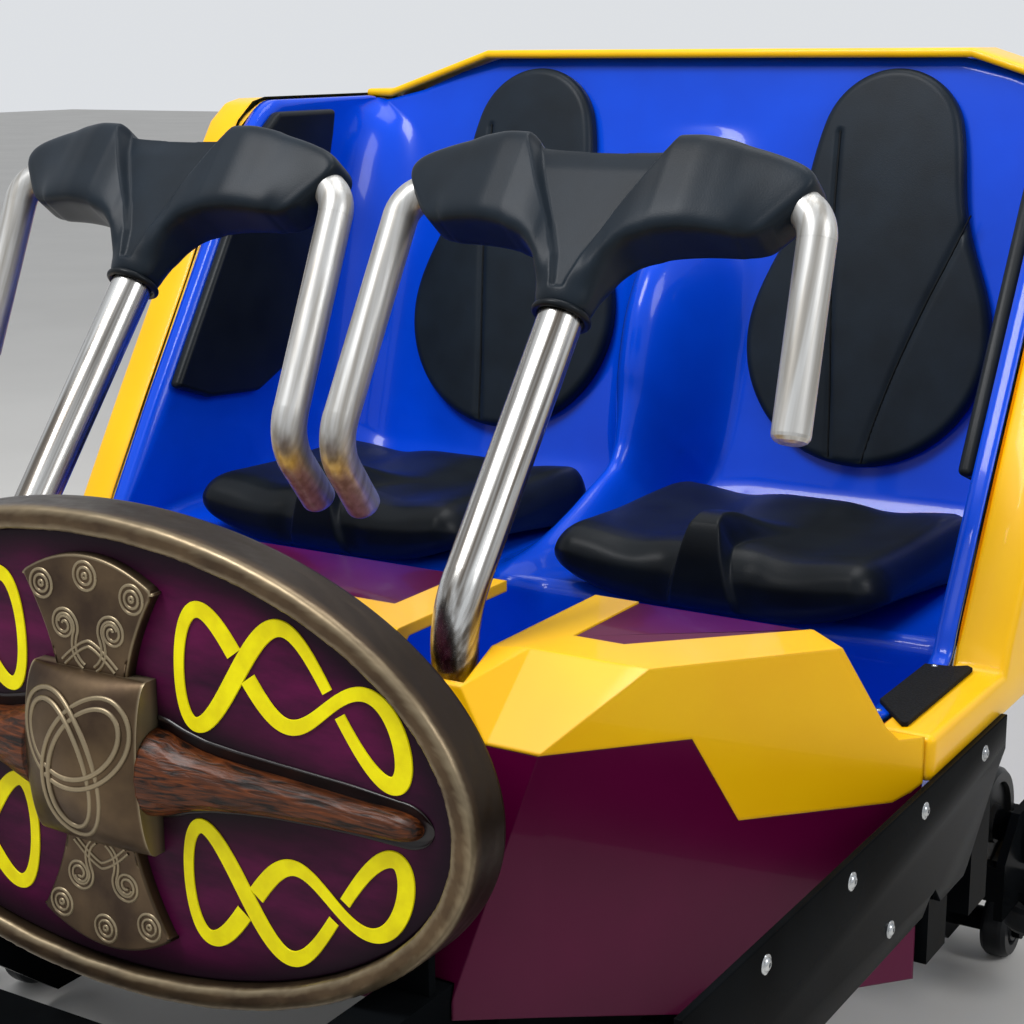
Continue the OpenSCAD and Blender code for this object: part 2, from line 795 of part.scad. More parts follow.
module shield_bar() {
    color("#3B2417") for (side = [1, -1]) at_side(side)
        translate([0, shield_y + board_in - panel_gap, shield_z]) intersection() {
            translate([boss_half + panel_gap, 0, 0]) rotate([0, 90, 0])
                cylinder(r1 = 42, r2 = 17, h = 232);
            translate([0, -100, -100]) cube([400, 100, 200]);
        }
}

module shield_bracket() {
    back = shield_y + rim_t;
    color("#1B1C1E") for (side = [1, -1]) at_side(side) {
        box(rail_tube_x - 25, rail_tube_x + 25, back + panel_gap, back + 12, frame_top, 600);
        box(rail_tube_x - 25, rail_tube_x + 25, back - 10 + panel_gap, back + 2, 520, 600);
    }
}

// Restraint

module restraint_pivots() {
    color("#2C2E31") for (x = [seat_x, -seat_x]) {
        for (k = [-1, 1]) translate([x + k * 52, 0, 0]) along_x(-8, 8) polygon([
            [pivot_y - 46, frame_top + pan_t], [pivot_y + 46, frame_top + pan_t],
            [pivot_y + 30, pivot_z + 22], [pivot_y - 30, pivot_z + 22]
        ]);
        pin_x(x - 44, x + 44, pivot_y, pivot_z, pivot_pin_d);
    }
}

// Centre line of the post in Y and Z, from the pivot up to the head
function bend_len() = post_bend_r * tan(post_lean / 2);

module restraint_post(side) {
    up = [sin(post_lean), cos(post_lean)];
    x = side * seat_x;
    leg = bend_len();
    straight = norm([collar_y - post_bend_y, collar_z - post_bend_z]);
    color("#A9ABAC") translate([x, 0, 0]) {
        difference() {
            union() {
                pin_x(-32, 32, pivot_y, pivot_z, pivot_pin_d + 26);
                translate([0, post_bend_y, pivot_z])
                    cylinder(d = post_d, h = post_bend_z - leg - pivot_z + bend_lap);
            }
            pin_x(-40, 40, pivot_y, pivot_z, pivot_pin_d + 2 * bore_gap);
        }
        translate([0, post_bend_y + post_bend_r, post_bend_z - leg]) rotate([90, 0, -90])
            tube_bend(post_bend_r, post_d, post_lean);
        translate([0, post_bend_y, post_bend_z]) rotate([-post_lean, 0, 0])
            translate([0, 0, leg - bend_lap]) cylinder(d = post_d, h = straight - leg + 60 + bend_lap);
    }
}

// The grab tubes leave the oblique ends of the head square to them, bend down over the elbow and
// run on at their lean from the vertical, a little splayed
entry_rise = 148;
end_turn = 128.3;
elbow_r = 40;
stub = 4;
sunk = 24;
splay = 2.5;
inner_lean = 27;
inner_len = 246;
inner_end = 62;
inner_bend = 64;
grab_bend_r = 60;
outer_lean = 21;
outer_len = 206;

function grab_entry(s) =
    [s * grab_x, collar_y + entry_rise * sin(post_lean), collar_z + entry_rise * cos(post_lean)];
function grab_out(s) =
    [s * sin(end_turn), cos(end_turn) * sin(post_lean), cos(end_turn) * cos(post_lean)];
function grab_down(s, lean) = [s * sin(splay), -cos(splay) * sin(lean), -cos(splay) * cos(lean)];
function elbow(s, lean) = acos(grab_out(s) * grab_down(s, lean));
// Where the straight tube starts below the elbow
function grab_start(s, lean) =
    grab_entry(s) + stub * grab_out(s)
    + elbow_r * tan(elbow(s, lean) / 2) * (grab_out(s) + grab_down(s, lean));

// The frame of the tube as it leaves the head, its Z axis pointing out
module at_entry(s) {
    translate(grab_entry(s)) rotate([-post_lean, 0, 0]) rotate([0, s * end_turn, 0]) children();
}

module grab_top(s, lean) {
    down = grab_down(s, lean);
    turn = elbow(s, lean);
    along = [cos(end_turn), -s * sin(end_turn) * sin(post_lean), -s * sin(end_turn) * cos(post_lean)];
    across = [0, cos(post_lean), -sin(post_lean)];
    at_entry(s) {
        translate([0, 0, -sunk]) cylinder(d = grab_d, h = sunk + stub + bend_lap);
        translate([0, 0, stub]) rotate([0, 0, atan2(down * across, down * along)])
            translate([elbow_r, 0, 0]) rotate([0, 0, 180]) rotate([90, 0, 0])
                tube_bend(elbow_r, grab_d, turn);
    }
}

module grab_tubes(side) {
    color("#A9ABAC") translate([side * seat_x, 0, 0]) at_side(side) {
        grab_top(-1, inner_lean);
        translate(grab_start(-1, inner_lean)) rotate([180 - inner_lean, 0, 0]) rotate([0, -splay, 0]) {
            translate([0, 0, -bend_lap]) cylinder(d = grab_d, h = inner_len + 2 * bend_lap);
            translate([0, -grab_bend_r, inner_len]) {
                rotate([90, 0, 90]) tube_bend(grab_bend_r, grab_d, inner_bend);
                rotate([inner_bend, 0, 0]) translate([0, grab_bend_r, -bend_lap]) {
                    cylinder(d = grab_d, h = inner_end + bend_lap);
                    translate([0, 0, inner_end + bend_lap]) dome(grab_d / 2);
                }
            }
        }
        grab_top(1, outer_lean);
        translate(grab_start(1, outer_lean)) rotate([180 - outer_lean, 0, 0]) rotate([0, splay, 0]) {
            translate([0, 0, -bend_lap]) cylinder(d = grab_d, h = outer_len + bend_lap);
            translate([0, 0, outer_len]) dome(grab_d / 2);
        }
    }
}

// A bent length of tube round the Z axis, a hair thicker than the straight ends lapped into it
module tube_bend(r, d, angle) {
    rotate_extrude(angle = angle) translate([r, 0]) circle(d = d + bend_swell);
}

module dome(r) {
    rotate_extrude() polygon([
        [0, 0], [r, 0], [r * 0.97, r * 0.16], [r * 0.84, r * 0.34], [r * 0.6, r * 0.46], [0, r * 0.5]
    ]);
}

// Head: sections across the width. Columns are x, underside, top, back and front,
// along and across the post from the collar.
HEAD = [
    [0, 0, 196, -34, 34],
    [20, 1, 198, -32, 34],
    [31, 8, 201, -28, 36],
    [38, 36, 203, -28, 38],
    [48, 60, 206, -29, 42],
    [68, 78, 210, -30, 47],
    [92, 87, 213, -30, 50],
    [118, 92, 214, -30, 50],
    [150, 95, 210, -30, 44],
    [180, 96, 200, -30, 36],
    [205, 98, 188, -30, 30],
    [225, 99, 178, -29, 28],
    [233, 104, 172, -28, 26],
    [237, 116, 160, -20, 18]
];
// The ends lean over from here on, so that the grab tubes meet them squarely
lean_from = 170;
lean_over = 60;
function ease(t) = let(c = min(1, max(0, t))) c * c * (3 - 2 * c);
function head_ring(row, sign) =
    let(
        ac = (row[1] + row[2]) / 2,
        ha = (row[2] - row[1]) / 2,
        nc = (row[3] + row[4]) / 2,
        hn = (row[4] - row[3]) / 2,
        count = 20,
        slant = ease((row[0] - lean_from) / lean_over) * tan(end_turn - 90)
    )
    [for (i = [0:count - 1])
        let(
            t = 360 * (i + 0.5) / count * -sign,
            c = cos(t),
            s = sin(t),
            n = nc + hn * sign(c) * pow(abs(c), 0.36),
            a = ac + ha * sign(s) * pow(abs(s), 0.36)
        )
        [sign * (row[0] + slant * (a - entry_rise + 12)),
            collar_y + a * sin(post_lean) - n * cos(post_lean),
            collar_z + a * cos(post_lean) + n * sin(post_lean)]];

// The flat V between the two wings, drawn from the front, over the floor of the recess
HEAD_V = [[7, 30], [15, 60], [34, 100], [62, 150], [88, 200], [100, 240]];
v_floor = 27;

module restraint_head(side) {
    n = len(HEAD);
    rings = concat(
        [for (i = [n - 1:-1:1]) let(r = head_ring(HEAD[i], -1)) [for (k = [len(r) - 1:-1:0]) r[k]]],
        [for (i = [0:n - 1]) let(r = head_ring(HEAD[i], 1)) [for (k = [0:len(r) - 1]) r[k]]]
    );
    color("#1C2226") translate([side * seat_x, 0, 0]) difference() {
        loft(rings);
        translate([0, collar_y, collar_z]) rotate([-post_lean, 0, 0]) {
            translate([0, 0, -40]) cylinder(d = post_d + 2 * panel_gap, h = 40 + 60 + panel_gap);
            translate([0, -v_floor, 0]) rotate([90, 0, 0]) linear_extrude(60)
                polygon(concat(HEAD_V, [for (i = [5:-1:0]) [-HEAD_V[i][0], HEAD_V[i][1]]]));
        }
        for (s = [1, -1]) at_entry(s)
            translate([0, 0, -sunk - panel_gap]) cylinder(d = grab_d + 2 * panel_gap, h = 80);
    }
}

chassis_frame();
floor_pan();
skirt_plate(1);  // skirt_plate_left
skirt_plate(-1);  // skirt_plate_right
nose_shell();
cowl(1);  // cowl_left
cowl(-1);  // cowl_right
knee_deck();
seat_tub();
side_panel(1);  // side_panel_left
side_panel(-1);  // side_panel_right
back_cover();
top_trim();
step_pads();
side_pads();
back_pad(1);  // back_pad_left
back_pad(-1);  // back_pad_right
seat_cushion(1);  // seat_cushion_left
seat_cushion(-1);  // seat_cushion_right
shield_board();
shield_rim();
shield_strap();
shield_bar();
shield_bracket();
front_axle();
rear_axle();
wheel_carrier(1, front_axle_y);  // wheel_carrier_fl
wheel_carrier(-1, front_axle_y);  // wheel_carrier_fr
wheel_carrier(1, rear_axle_y);  // wheel_carrier_rl
wheel_carrier(-1, rear_axle_y);  // wheel_carrier_rr
load_wheel(1, front_axle_y);  // load_wheel_fl
load_wheel(-1, front_axle_y);  // load_wheel_fr
load_wheel(1, rear_axle_y);  // load_wheel_rl
load_wheel(-1, rear_axle_y);  // load_wheel_rr
guide_wheel(1, front_axle_y);  // guide_wheel_fl
guide_wheel(-1, front_axle_y);  // guide_wheel_fr
guide_wheel(1, rear_axle_y);  // guide_wheel_rl
guide_wheel(-1, rear_axle_y);  // guide_wheel_rr
upstop_wheel(1, front_axle_y);  // upstop_wheel_fl
upstop_wheel(-1, front_axle_y);  // upstop_wheel_fr
upstop_wheel(1, rear_axle_y);  // upstop_wheel_rl
upstop_wheel(-1, rear_axle_y);  // upstop_wheel_rr
rear_drawbar();
restraint_pivots();
restraint_post(1);  // restraint_post_left
restraint_post(-1);  // restraint_post_right
grab_tubes(1);  // grab_tubes_left
grab_tubes(-1);  // grab_tubes_right
restraint_head(1);  // restraint_head_left
restraint_head(-1);  // restraint_head_right
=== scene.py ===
# %% [markdown]
# # A two-seat roller coaster car
# The car stands on its lower wheels on a pale studio floor. The moulded solids come from the
# imported frame; this notebook gives them their finishes and adds the pieces that it shapes: the
# foam seats and restraint heads, the carved shield, the screws and the small trim.

# %% Load the imported car
import json
import math

import bmesh
import bpy
import numpy as np
from mathutils import Matrix, Vector


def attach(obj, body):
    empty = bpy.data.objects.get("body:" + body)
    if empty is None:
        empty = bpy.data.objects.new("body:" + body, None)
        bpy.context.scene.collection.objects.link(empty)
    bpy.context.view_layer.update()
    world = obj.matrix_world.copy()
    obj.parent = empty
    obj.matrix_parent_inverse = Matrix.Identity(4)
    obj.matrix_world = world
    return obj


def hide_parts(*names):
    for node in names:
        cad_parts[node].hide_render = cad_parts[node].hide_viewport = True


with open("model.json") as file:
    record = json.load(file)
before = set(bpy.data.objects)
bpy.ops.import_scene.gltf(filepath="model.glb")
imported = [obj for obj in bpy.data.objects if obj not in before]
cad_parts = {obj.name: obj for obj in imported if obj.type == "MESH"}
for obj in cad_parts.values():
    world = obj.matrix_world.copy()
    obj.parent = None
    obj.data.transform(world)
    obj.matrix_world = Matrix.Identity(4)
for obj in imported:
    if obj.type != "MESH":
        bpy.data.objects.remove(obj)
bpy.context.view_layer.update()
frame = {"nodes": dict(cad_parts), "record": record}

# %% [markdown]
# ## Small helpers
# A colour is written as the hex value of a swatch, and turned to the linear numbers that the
# renderer wants. Every material is a short chain of nodes, so one function adds a node with its
# settings, values and links.

# %% Colours and nodes
def linear(code):
    """sRGB hex to linear: x/12.92 below 0.04045, else ((x + 0.055)/1.055) to the power 2.4."""
    s = np.array([int(code[i:i + 2], 16) for i in (1, 3, 5)]) / 255
    low = s <= 0.04045
    return tuple(np.where(low, s / 12.92, ((s + 0.055) / 1.055) ** 2.4)) + (1.0,)


def add_node(tree, kind, values=None, links=None, **settings):
    node = tree.nodes.new(kind)
    for name, value in settings.items():
        setattr(node, name, value)
    for key, value in (values or {}).items():
        node.inputs[key].default_value = value
    for key, socket in (links or {}).items():
        tree.links.new(socket, node.inputs[key])
    return node


def start_material(name, **values):
    """A material whose constant values sit on the shader's own sockets."""
    mat = bpy.data.materials.new(name)
    mat.use_nodes = True
    tree = mat.node_tree
    shader = tree.nodes["Principled BSDF"]
    for key, value in values.items():
        shader.inputs[key.replace("_", " ")].default_value = value
    place = add_node(tree, "ShaderNodeTexCoord").outputs["Object"]
    return mat, tree, shader, place


def mottle(tree, shader, vector, size_mm, dark, light, span=(0.35, 0.65), **values):
    """Noise of the given grain size, as a ramp between two colours, put into the base colour."""
    noise = add_node(tree, "ShaderNodeTexNoise", {"Scale": 1000 / size_mm, "Detail": 3, **values},
                     {"Vector": vector})
    ramp = add_node(tree, "ShaderNodeValToRGB", links={"Fac": noise.outputs["Fac"]})
    for stop, at, code in zip(ramp.color_ramp.elements, span, (dark, light)):
        stop.position, stop.color = at, linear(code)
    tree.links.new(ramp.outputs["Color"], shader.inputs["Base Color"])
    return noise, ramp


def grain(tree, shader, place, size_mm, depth_mm, strength, detail=2, **links):
    """A bump of the given grain size and depth, in real millimetres."""
    noise = add_node(tree, "ShaderNodeTexNoise", {"Scale": 1000 / size_mm, "Detail": detail},
                     {"Vector": place})
    bump = add_node(tree, "ShaderNodeBump", {"Strength": strength, "Distance": depth_mm / 1000},
                    {"Height": noise.outputs["Fac"], **links})
    tree.links.new(bump.outputs["Normal"], shader.inputs["Normal"])


print("helpers ready")

# %% [markdown]
# ## Gelcoat
# The tub, cowls and panels are glass fibre, sprayed into a polished mould: the pigment lies
# under a clear, hard skin, so the colour is deep and the lamps mirror sharply in it. A faint
# waviness of a few centimetres keeps the reflections from looking like glass.

# %% Gelcoat in three colours
def gelcoat(name, deep, bright, roughness, coat, ior=1.4, edge_mm=3):
    mat, tree, shader, place = start_material(
        name, Roughness=roughness, Coat_Weight=coat, Coat_Roughness=0.04, Coat_IOR=1.3, IOR=ior,
        Specular_IOR_Level=0.35)
    mottle(tree, shader, place, 160, deep, bright, span=(0.3, 0.7))
    rolled = add_node(tree, "ShaderNodeBevel", {"Radius": edge_mm / 1000}, samples=6)
    grain(tree, shader, place, 45, 0.25, 0.25, Normal=rolled.outputs["Normal"])
    return mat


blue_gelcoat = gelcoat("blue gelcoat", "#0043CE", "#004ADC", 0.25, 0.6, ior=1.3)
yellow_gelcoat = gelcoat("yellow gelcoat", "#F6B800", "#FBC300", 0.38, 0.3, edge_mm=5)
maroon_gelcoat = gelcoat("maroon gelcoat", "#4C002B", "#560032", 0.3, 0.22, ior=1.3)
print("gelcoats", blue_gelcoat.name, maroon_gelcoat.name)

# %% [markdown]
# ## Foam, rubber and tyres
# Seats and restraint heads are polyurethane foam with its own dense skin: almost black, softly
# shining, with the fine leather-like grain of the mould.

# %% Foam skin and rubber
def foam_skin(name, deep, bright, roughness, grain_mm):
    mat, tree, shader, place = start_material(name, Roughness=roughness, IOR=1.4, Specular_IOR_Level=0.2)
    mottle(tree, shader, place, 70, deep, bright, span=(0.3, 0.7))
    grain(tree, shader, place, grain_mm, 0.35, 0.45, detail=4)
    return mat


head_foam = foam_skin("grained head foam", "#141B22", "#1A232C", 0.40, 1.6)
seat_foam = foam_skin("smooth seat foam", "#101418", "#161B20", 0.36, 2.2)
pad_foam = foam_skin("side pad foam", "#0B0D0F", "#111417", 0.38, 2.2)


def tread_rubber():
    """Raised specks of grit about 2.5 mm apart on rubber sheet."""
    mat, tree, shader, place = start_material("grit faced rubber", Roughness=0.8, Specular_IOR_Level=0.15)
    specks = add_node(tree, "ShaderNodeTexVoronoi", {"Scale": 400}, {"Vector": place})
    ramp = add_node(tree, "ShaderNodeValToRGB", links={"Fac": specks.outputs["Distance"]})
    for stop, at, code in zip(ramp.color_ramp.elements, (0, 0.45), ("#1E2022", "#0A0B0C")):
        stop.position, stop.color = at, linear(code)
    tree.links.new(ramp.outputs["Color"], shader.inputs["Base Color"])
    bump = add_node(tree, "ShaderNodeBump", {"Strength": 0.8, "Distance": 0.001},
                    {"Height": specks.outputs["Distance"]}, invert=True)
    tree.links.new(bump.outputs["Normal"], shader.inputs["Normal"])
    return mat


step_rubber = tread_rubber()
wheel_tread = foam_skin("polyurethane tread", "#17181A", "#202224", 0.36, 6)
print("foams", head_foam.name, seat_foam.name, step_rubber.name)

# %% [markdown]
# ## Steel
# The tubes are stainless steel, ground with a belt: fine scratches run along the tube and draw
# each lamp out into a long line, and soft streaks along the tube are painted reflections, dark
# brown-grey and pale. The frame is powder coated in black gloss, with the faint orange-peel of
# baked powder. A low IOR holds back its mirror at flat angles, where the pale floor would make it grey.

# %% Stainless tube and black frame
def ground_stainless(name, lean, dark="#6E675F", light="#D2D2D0", smooth=0.18, rough=0.32, metal=1.0):
    """Painted reflections: streaks 9 mm wide and 300 mm long down the tube, with belt scratches of 0.8 mm
    over them.
    """
    mat, tree, shader, place = start_material(name, Metallic=metal, Anisotropic=0.3)
    upright = add_node(tree, "ShaderNodeMapping", {"Rotation": (math.radians(lean), 0, 0)}, {"Vector": place})
    links = {"Vector": upright.outputs["Vector"]}
    reflection_streak = add_node(tree, "ShaderNodeMapping", {"Scale": (110, 110, 3)}, links)
    # painted reflections: streaks from the dark to the light colour along the tube
    mottle(tree, shader, reflection_streak.outputs["Vector"], 1000, dark, light, span=(0.34, 0.62), Detail=2.0)
    belt = add_node(tree, "ShaderNodeMapping", {"Scale": (1200, 1200, 14)}, links)
    scratch = add_node(tree, "ShaderNodeTexNoise", {"Scale": 1.0, "Detail": 1.0},
                       {"Vector": belt.outputs["Vector"]})
    span = add_node(tree, "ShaderNodeMapRange", {"To Min": smooth, "To Max": rough},
                    {"Value": scratch.outputs["Fac"]})
    tree.links.new(span.outputs["Result"], shader.inputs["Roughness"])
    bump = add_node(tree, "ShaderNodeBump", {"Strength": 0.1, "Distance": 0.0001},
                    {"Height": scratch.outputs["Fac"]})
    tree.links.new(bump.outputs["Normal"], shader.inputs["Normal"])
    return mat


def powder_coat(name, deep, bright, roughness, ior=1.4):
    mat, tree, shader, place = start_material(name, Roughness=roughness, IOR=ior, Specular_IOR_Level=0.03)
    mottle(tree, shader, place, 120, deep, bright)
    grain(tree, shader, place, 5, 0.15, 0.3)
    return mat


stainless = ground_stainless("ground stainless post", 38)
grab_steel = ground_stainless("ground stainless tube", 24, "#A19D96", "#C4C4C2", 0.32, 0.44, metal=0.72)
black_powder = powder_coat("black powder coat", "#08090A", "#0E1012", 0.16, ior=1.18)
grey_paint = powder_coat("dark grey paint", "#22252A", "#2C3036", 0.45)
zinc_bolt = ground_stainless("zinc plated bolt", 0, dark="#8D9093", light="#BDC0C2")
print("steels", stainless.name, black_powder.name, grey_paint.name)

# %% [markdown]
# ## The shield's finishes
# Its rim and strap are cast resin, painted as old bronze: brown in the hollows and rubbed pale
# on the edges. The board is a dark purple-red, clouded with brush marks. The bar is carved wood
# under varnish.

# %% Bronze, board and wood
SHIELD_Z = 608


def aged_bronze():
    """Brown clouds of 60 mm; pale where an edge was rubbed, dark in hollows, and painted shade on the flank
    near the board.
    """
    mat, tree, shader, place = start_material("aged bronze coat", Metallic=0.75)
    ramp = mottle(tree, shader, place, 60, "#3A2B1F", "#67543D", span=(0.3, 0.72), Detail=5)[1]
    colour = ramp.outputs["Color"]
    worn = add_node(tree, "ShaderNodeNewGeometry").outputs["Pointiness"]
    # painted shade: the depth towards the board darkens the rim's flank and the strap's sides
    height = add_node(tree, "ShaderNodeSeparateXYZ", links={"Vector": place}).outputs["Y"]
    for signal, low, high, over in ((worn, 0.508, 0.56, "#A8997C"), (worn, 0.492, 0.45, "#1A140E"),
                                    (height, -0.815, -0.802, "#2B2118")):
        share = add_node(tree, "ShaderNodeMapRange", {"From Min": low, "From Max": high}, {"Value": signal})
        colour = add_node(tree, "ShaderNodeMix", {7: linear(over)}, {0: share.outputs["Result"], 6: colour},
                          data_type="RGBA").outputs[2]
    tree.links.new(colour, shader.inputs["Base Color"])
    patch = add_node(tree, "ShaderNodeTexNoise", {"Scale": 70, "Detail": 6}, {"Vector": place})
    span = add_node(tree, "ShaderNodeMapRange", {"To Min": 0.3, "To Max": 0.5},
                    {"Value": patch.outputs["Fac"]})
    tree.links.new(span.outputs["Result"], shader.inputs["Roughness"])
    grain(tree, shader, place, 7, 0.3, 0.35, detail=5)
    return mat


def clouded_board():
    """Streaks along the board; dark outside an oval near the rim, and a painted shadow inside one round the
    bar.
    """
    mat, tree, shader, place = start_material("clouded board paint", Roughness=0.42, IOR=1.35,
                                              Specular_IOR_Level=0.2)
    brush = add_node(tree, "ShaderNodeMapping", {"Scale": (7, 9, 26)}, {"Vector": place})
    ramp = mottle(tree, shader, brush.outputs["Vector"], 1000, "#2C0A24", "#5E1042", span=(0.3, 0.72),
                  Detail=7, Roughness=0.6)[1]
    colour = ramp.outputs["Color"]
    # the gradient is 1 at the oval's middle and 0 at its edge
    # the second oval is a painted shadow round the bar: darkest over its middle, fading to its edge
    for half_x, half_z, low, high, over in ((0.445, 0.240, 0.20, 0.02, "#1A0A18"),
                                            (0.430, 0.105, 0.02, 0.55, "#12060F")):
        fit = {"Location": (0, 0, -SHIELD_Z / 1000 / half_z), "Scale": (1 / half_x, 0, 1 / half_z)}
        oval = add_node(tree, "ShaderNodeMapping", fit, {"Vector": place})
        ball = add_node(tree, "ShaderNodeTexGradient", links={"Vector": oval.outputs["Vector"]},
                        gradient_type="SPHERICAL")
        share = add_node(tree, "ShaderNodeMapRange", {"From Min": low, "From Max": high},
                         {"Value": ball.outputs["Fac"]}, interpolation_type="SMOOTHSTEP")
        colour = add_node(tree, "ShaderNodeMix", {7: linear(over)}, {0: share.outputs["Result"], 6: colour},
                          data_type="RGBA").outputs[2]
    tree.links.new(colour, shader.inputs["Base Color"])
    grain(tree, shader, place, 14, 0.4, 0.35, detail=5)
    return mat


def carved_wood():
    """Long fibres along the bar: noise squeezed to 4 mm across and 60 mm along."""
    mat, tree, shader, place = start_material("varnished carved wood", Coat_Weight=0.12, Coat_Roughness=0.2,
                                              Specular_IOR_Level=0.2, Roughness=0.42)
    fibre = add_node(tree, "ShaderNodeMapping", {"Scale": (16, 150, 230)}, {"Vector": place})
    noise = mottle(tree, shader, fibre.outputs["Vector"], 1000, "#160904", "#6B3514", span=(0.36, 0.66),
                   Detail=6, Distortion=0.8)[0]
    bump = add_node(tree, "ShaderNodeBump", {"Strength": 0.9, "Distance": 0.002},
                    {"Height": noise.outputs["Fac"]})
    tree.links.new(bump.outputs["Normal"], shader.inputs["Normal"])
    return mat


bronze = aged_bronze()
board_paint = clouded_board()
bar_wood = carved_wood()
knot_paint, tree, shader, place = start_material("yellow enamel line", Roughness=0.4, Specular_IOR_Level=0.15)
mottle(tree, shader, place, 25, "#F0E000", "#FFF200")
grain(tree, shader, place, 8, 0.2, 0.3)
# painted shadow: a near-black paint for the strip round the bar
bar_shadow_paint, tree, shader, place = start_material("painted bar shadow", Roughness=0.3, Specular_IOR_Level=0.4)
mottle(tree, shader, place, 30, "#0A0406", "#160A0C")
print("shield finishes", bronze.name, board_paint.name, bar_wood.name)

# %% [markdown]
# ## Finishes on the solids
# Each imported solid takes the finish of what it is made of.

# %% Dress the solids
FINISH = {
    "black_steel": black_powder, "maroon_gelcoat": maroon_gelcoat, "yellow_gelcoat": yellow_gelcoat,
    "blue_gelcoat": blue_gelcoat, "black_foam": seat_foam, "grip_rubber": step_rubber,
    "bronze_resin": bronze, "maroon_board": board_paint, "dark_wood": bar_wood,
    "wheel_pu": wheel_tread, "stainless": stainless, "pan_steel": grey_paint,
}
SLOTS = {part["node"]: part["material_slot"] for part in frame["record"]["subparts"]}
for node_name, slot in SLOTS.items():
    node = frame["nodes"][node_name]
    node.data.materials.clear()
    node.data.materials.append(FINISH[slot])
for node_name in ("grab_tubes_left", "grab_tubes_right"):
    frame["nodes"][node_name].data.materials[0] = grab_steel
print("dressed", len(SLOTS), "solids")

# %% [markdown]
# ## Surfaces from tables
# The foam and the moulded tub are smooth forms that were sculpted, so each is described by a
# short table of cross-sections. A monotone cubic runs through the columns of the table, which
# rounds the form between the sections and never bulges past them.

# %% Smooth tables and skins
def through(knots, table, at):
    """Monotone cubic: Hermite pieces whose slopes are weighted harmonic means, 0 at a turn."""
    knots, table = np.asarray(knots, float), np.asarray(table, float)
    h = np.diff(knots)[:, None]
    d = np.diff(table, axis=0) / h
    slope = np.zeros_like(table)
    slope[0], slope[-1] = d[0], d[-1]
    a, b = d[:-1], d[1:]
    w1, w2 = 2 * h[1:] + h[:-1], h[1:] + 2 * h[:-1]
    same = a * b > 0
    safe_a, safe_b = np.where(same, a, 1), np.where(same, b, 1)
    slope[1:-1] = np.where(same, (w1 + w2) / (w1 / safe_a + w2 / safe_b), 0)
    at = np.clip(at, knots[0], knots[-1])
    k = np.clip(np.searchsorted(knots, at, side="right") - 1, 0, len(knots) - 2)
    t = ((at - knots[k]) / h[k, 0])[:, None]
    p, q, m, n, hk = table[k], table[k + 1], slope[k], slope[k + 1], h[k]
    return ((2*t**3 - 3*t**2 + 1) * p + (t**3 - 2*t**2 + t) * hk * m
            + (3*t**2 - 2*t**3) * q + (t**3 - t**2) * hk * n)


def in_scene(name, data):
    thing = bpy.data.objects.new(name, data)
    bpy.context.scene.collection.objects.link(thing)
    return thing


def skin(name, grid, material, body, wrap=False, caps=False):
    """A grid of points as a mesh: one quad per cell, joined across when wrap, closed when caps."""
    m, n = grid.shape[:2]
    row = np.arange(m - 1)[:, None] * n
    col = np.arange(n if wrap else n - 1)[None, :]
    nxt = (col + 1) % n
    faces = np.stack([row + col, row + nxt, row + n + nxt, row + n + col], -1).reshape(-1, 4).tolist()
    if caps:
        faces += [list(range(n))[::-1], [(m - 1) * n + k for k in range(n)]]
    return dress(name, grid.reshape(-1, 3), faces, material, body)


def dress(name, points, faces, material, body, sharp=None):
    """Mesh, finish and body for one piece; its faces are turned outwards."""
    mesh = bpy.data.meshes.new(name)
    mesh.from_pydata(np.asarray(points).tolist(), [], faces)
    work = bmesh.new()
    work.from_mesh(mesh)
    bmesh.ops.remove_doubles(work, verts=work.verts, dist=1e-6)
    bmesh.ops.recalc_face_normals(work, faces=work.faces)
    work.to_mesh(mesh)
    work.free()
    mesh.polygons.foreach_set("use_smooth", [True] * len(mesh.polygons))
    if sharp:
        mesh.set_sharp_from_angle(angle=math.radians(sharp))
    mesh.materials.append(material)
    piece = in_scene(name, mesh)
    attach(piece, body)
    return piece


def step(x, low, high):
    """0 below low, 1 above high, and 3t² − 2t³ between."""
    t = np.clip((x - low) / (high - low), 0, 1)
    return t * t * (3 - 2 * t)


print("surface helpers ready")

# %% [markdown]
# ## The tub
# One moulding makes the footwell, both buckets and the backrest. Each row of the table is a
# section across the car: a base line with a hump between the seats, a round corner and a wall
# up to the edge. The rows lean, so that they follow the raked sides.

# %% Tub sections, in millimetres
SHOULDER, CROWN_RISE, BACK_LEAN = 1236, 70, 0.27
PAN, FLOOR = 602, 428.3
TUB_HALF, FLANGE, WALL = 644, 20, 7.6


def back(z):
    """The backrest's face: y grows by 0.27 of the height above its foot."""
    return 483 + (z - 716) * BACK_LEAN


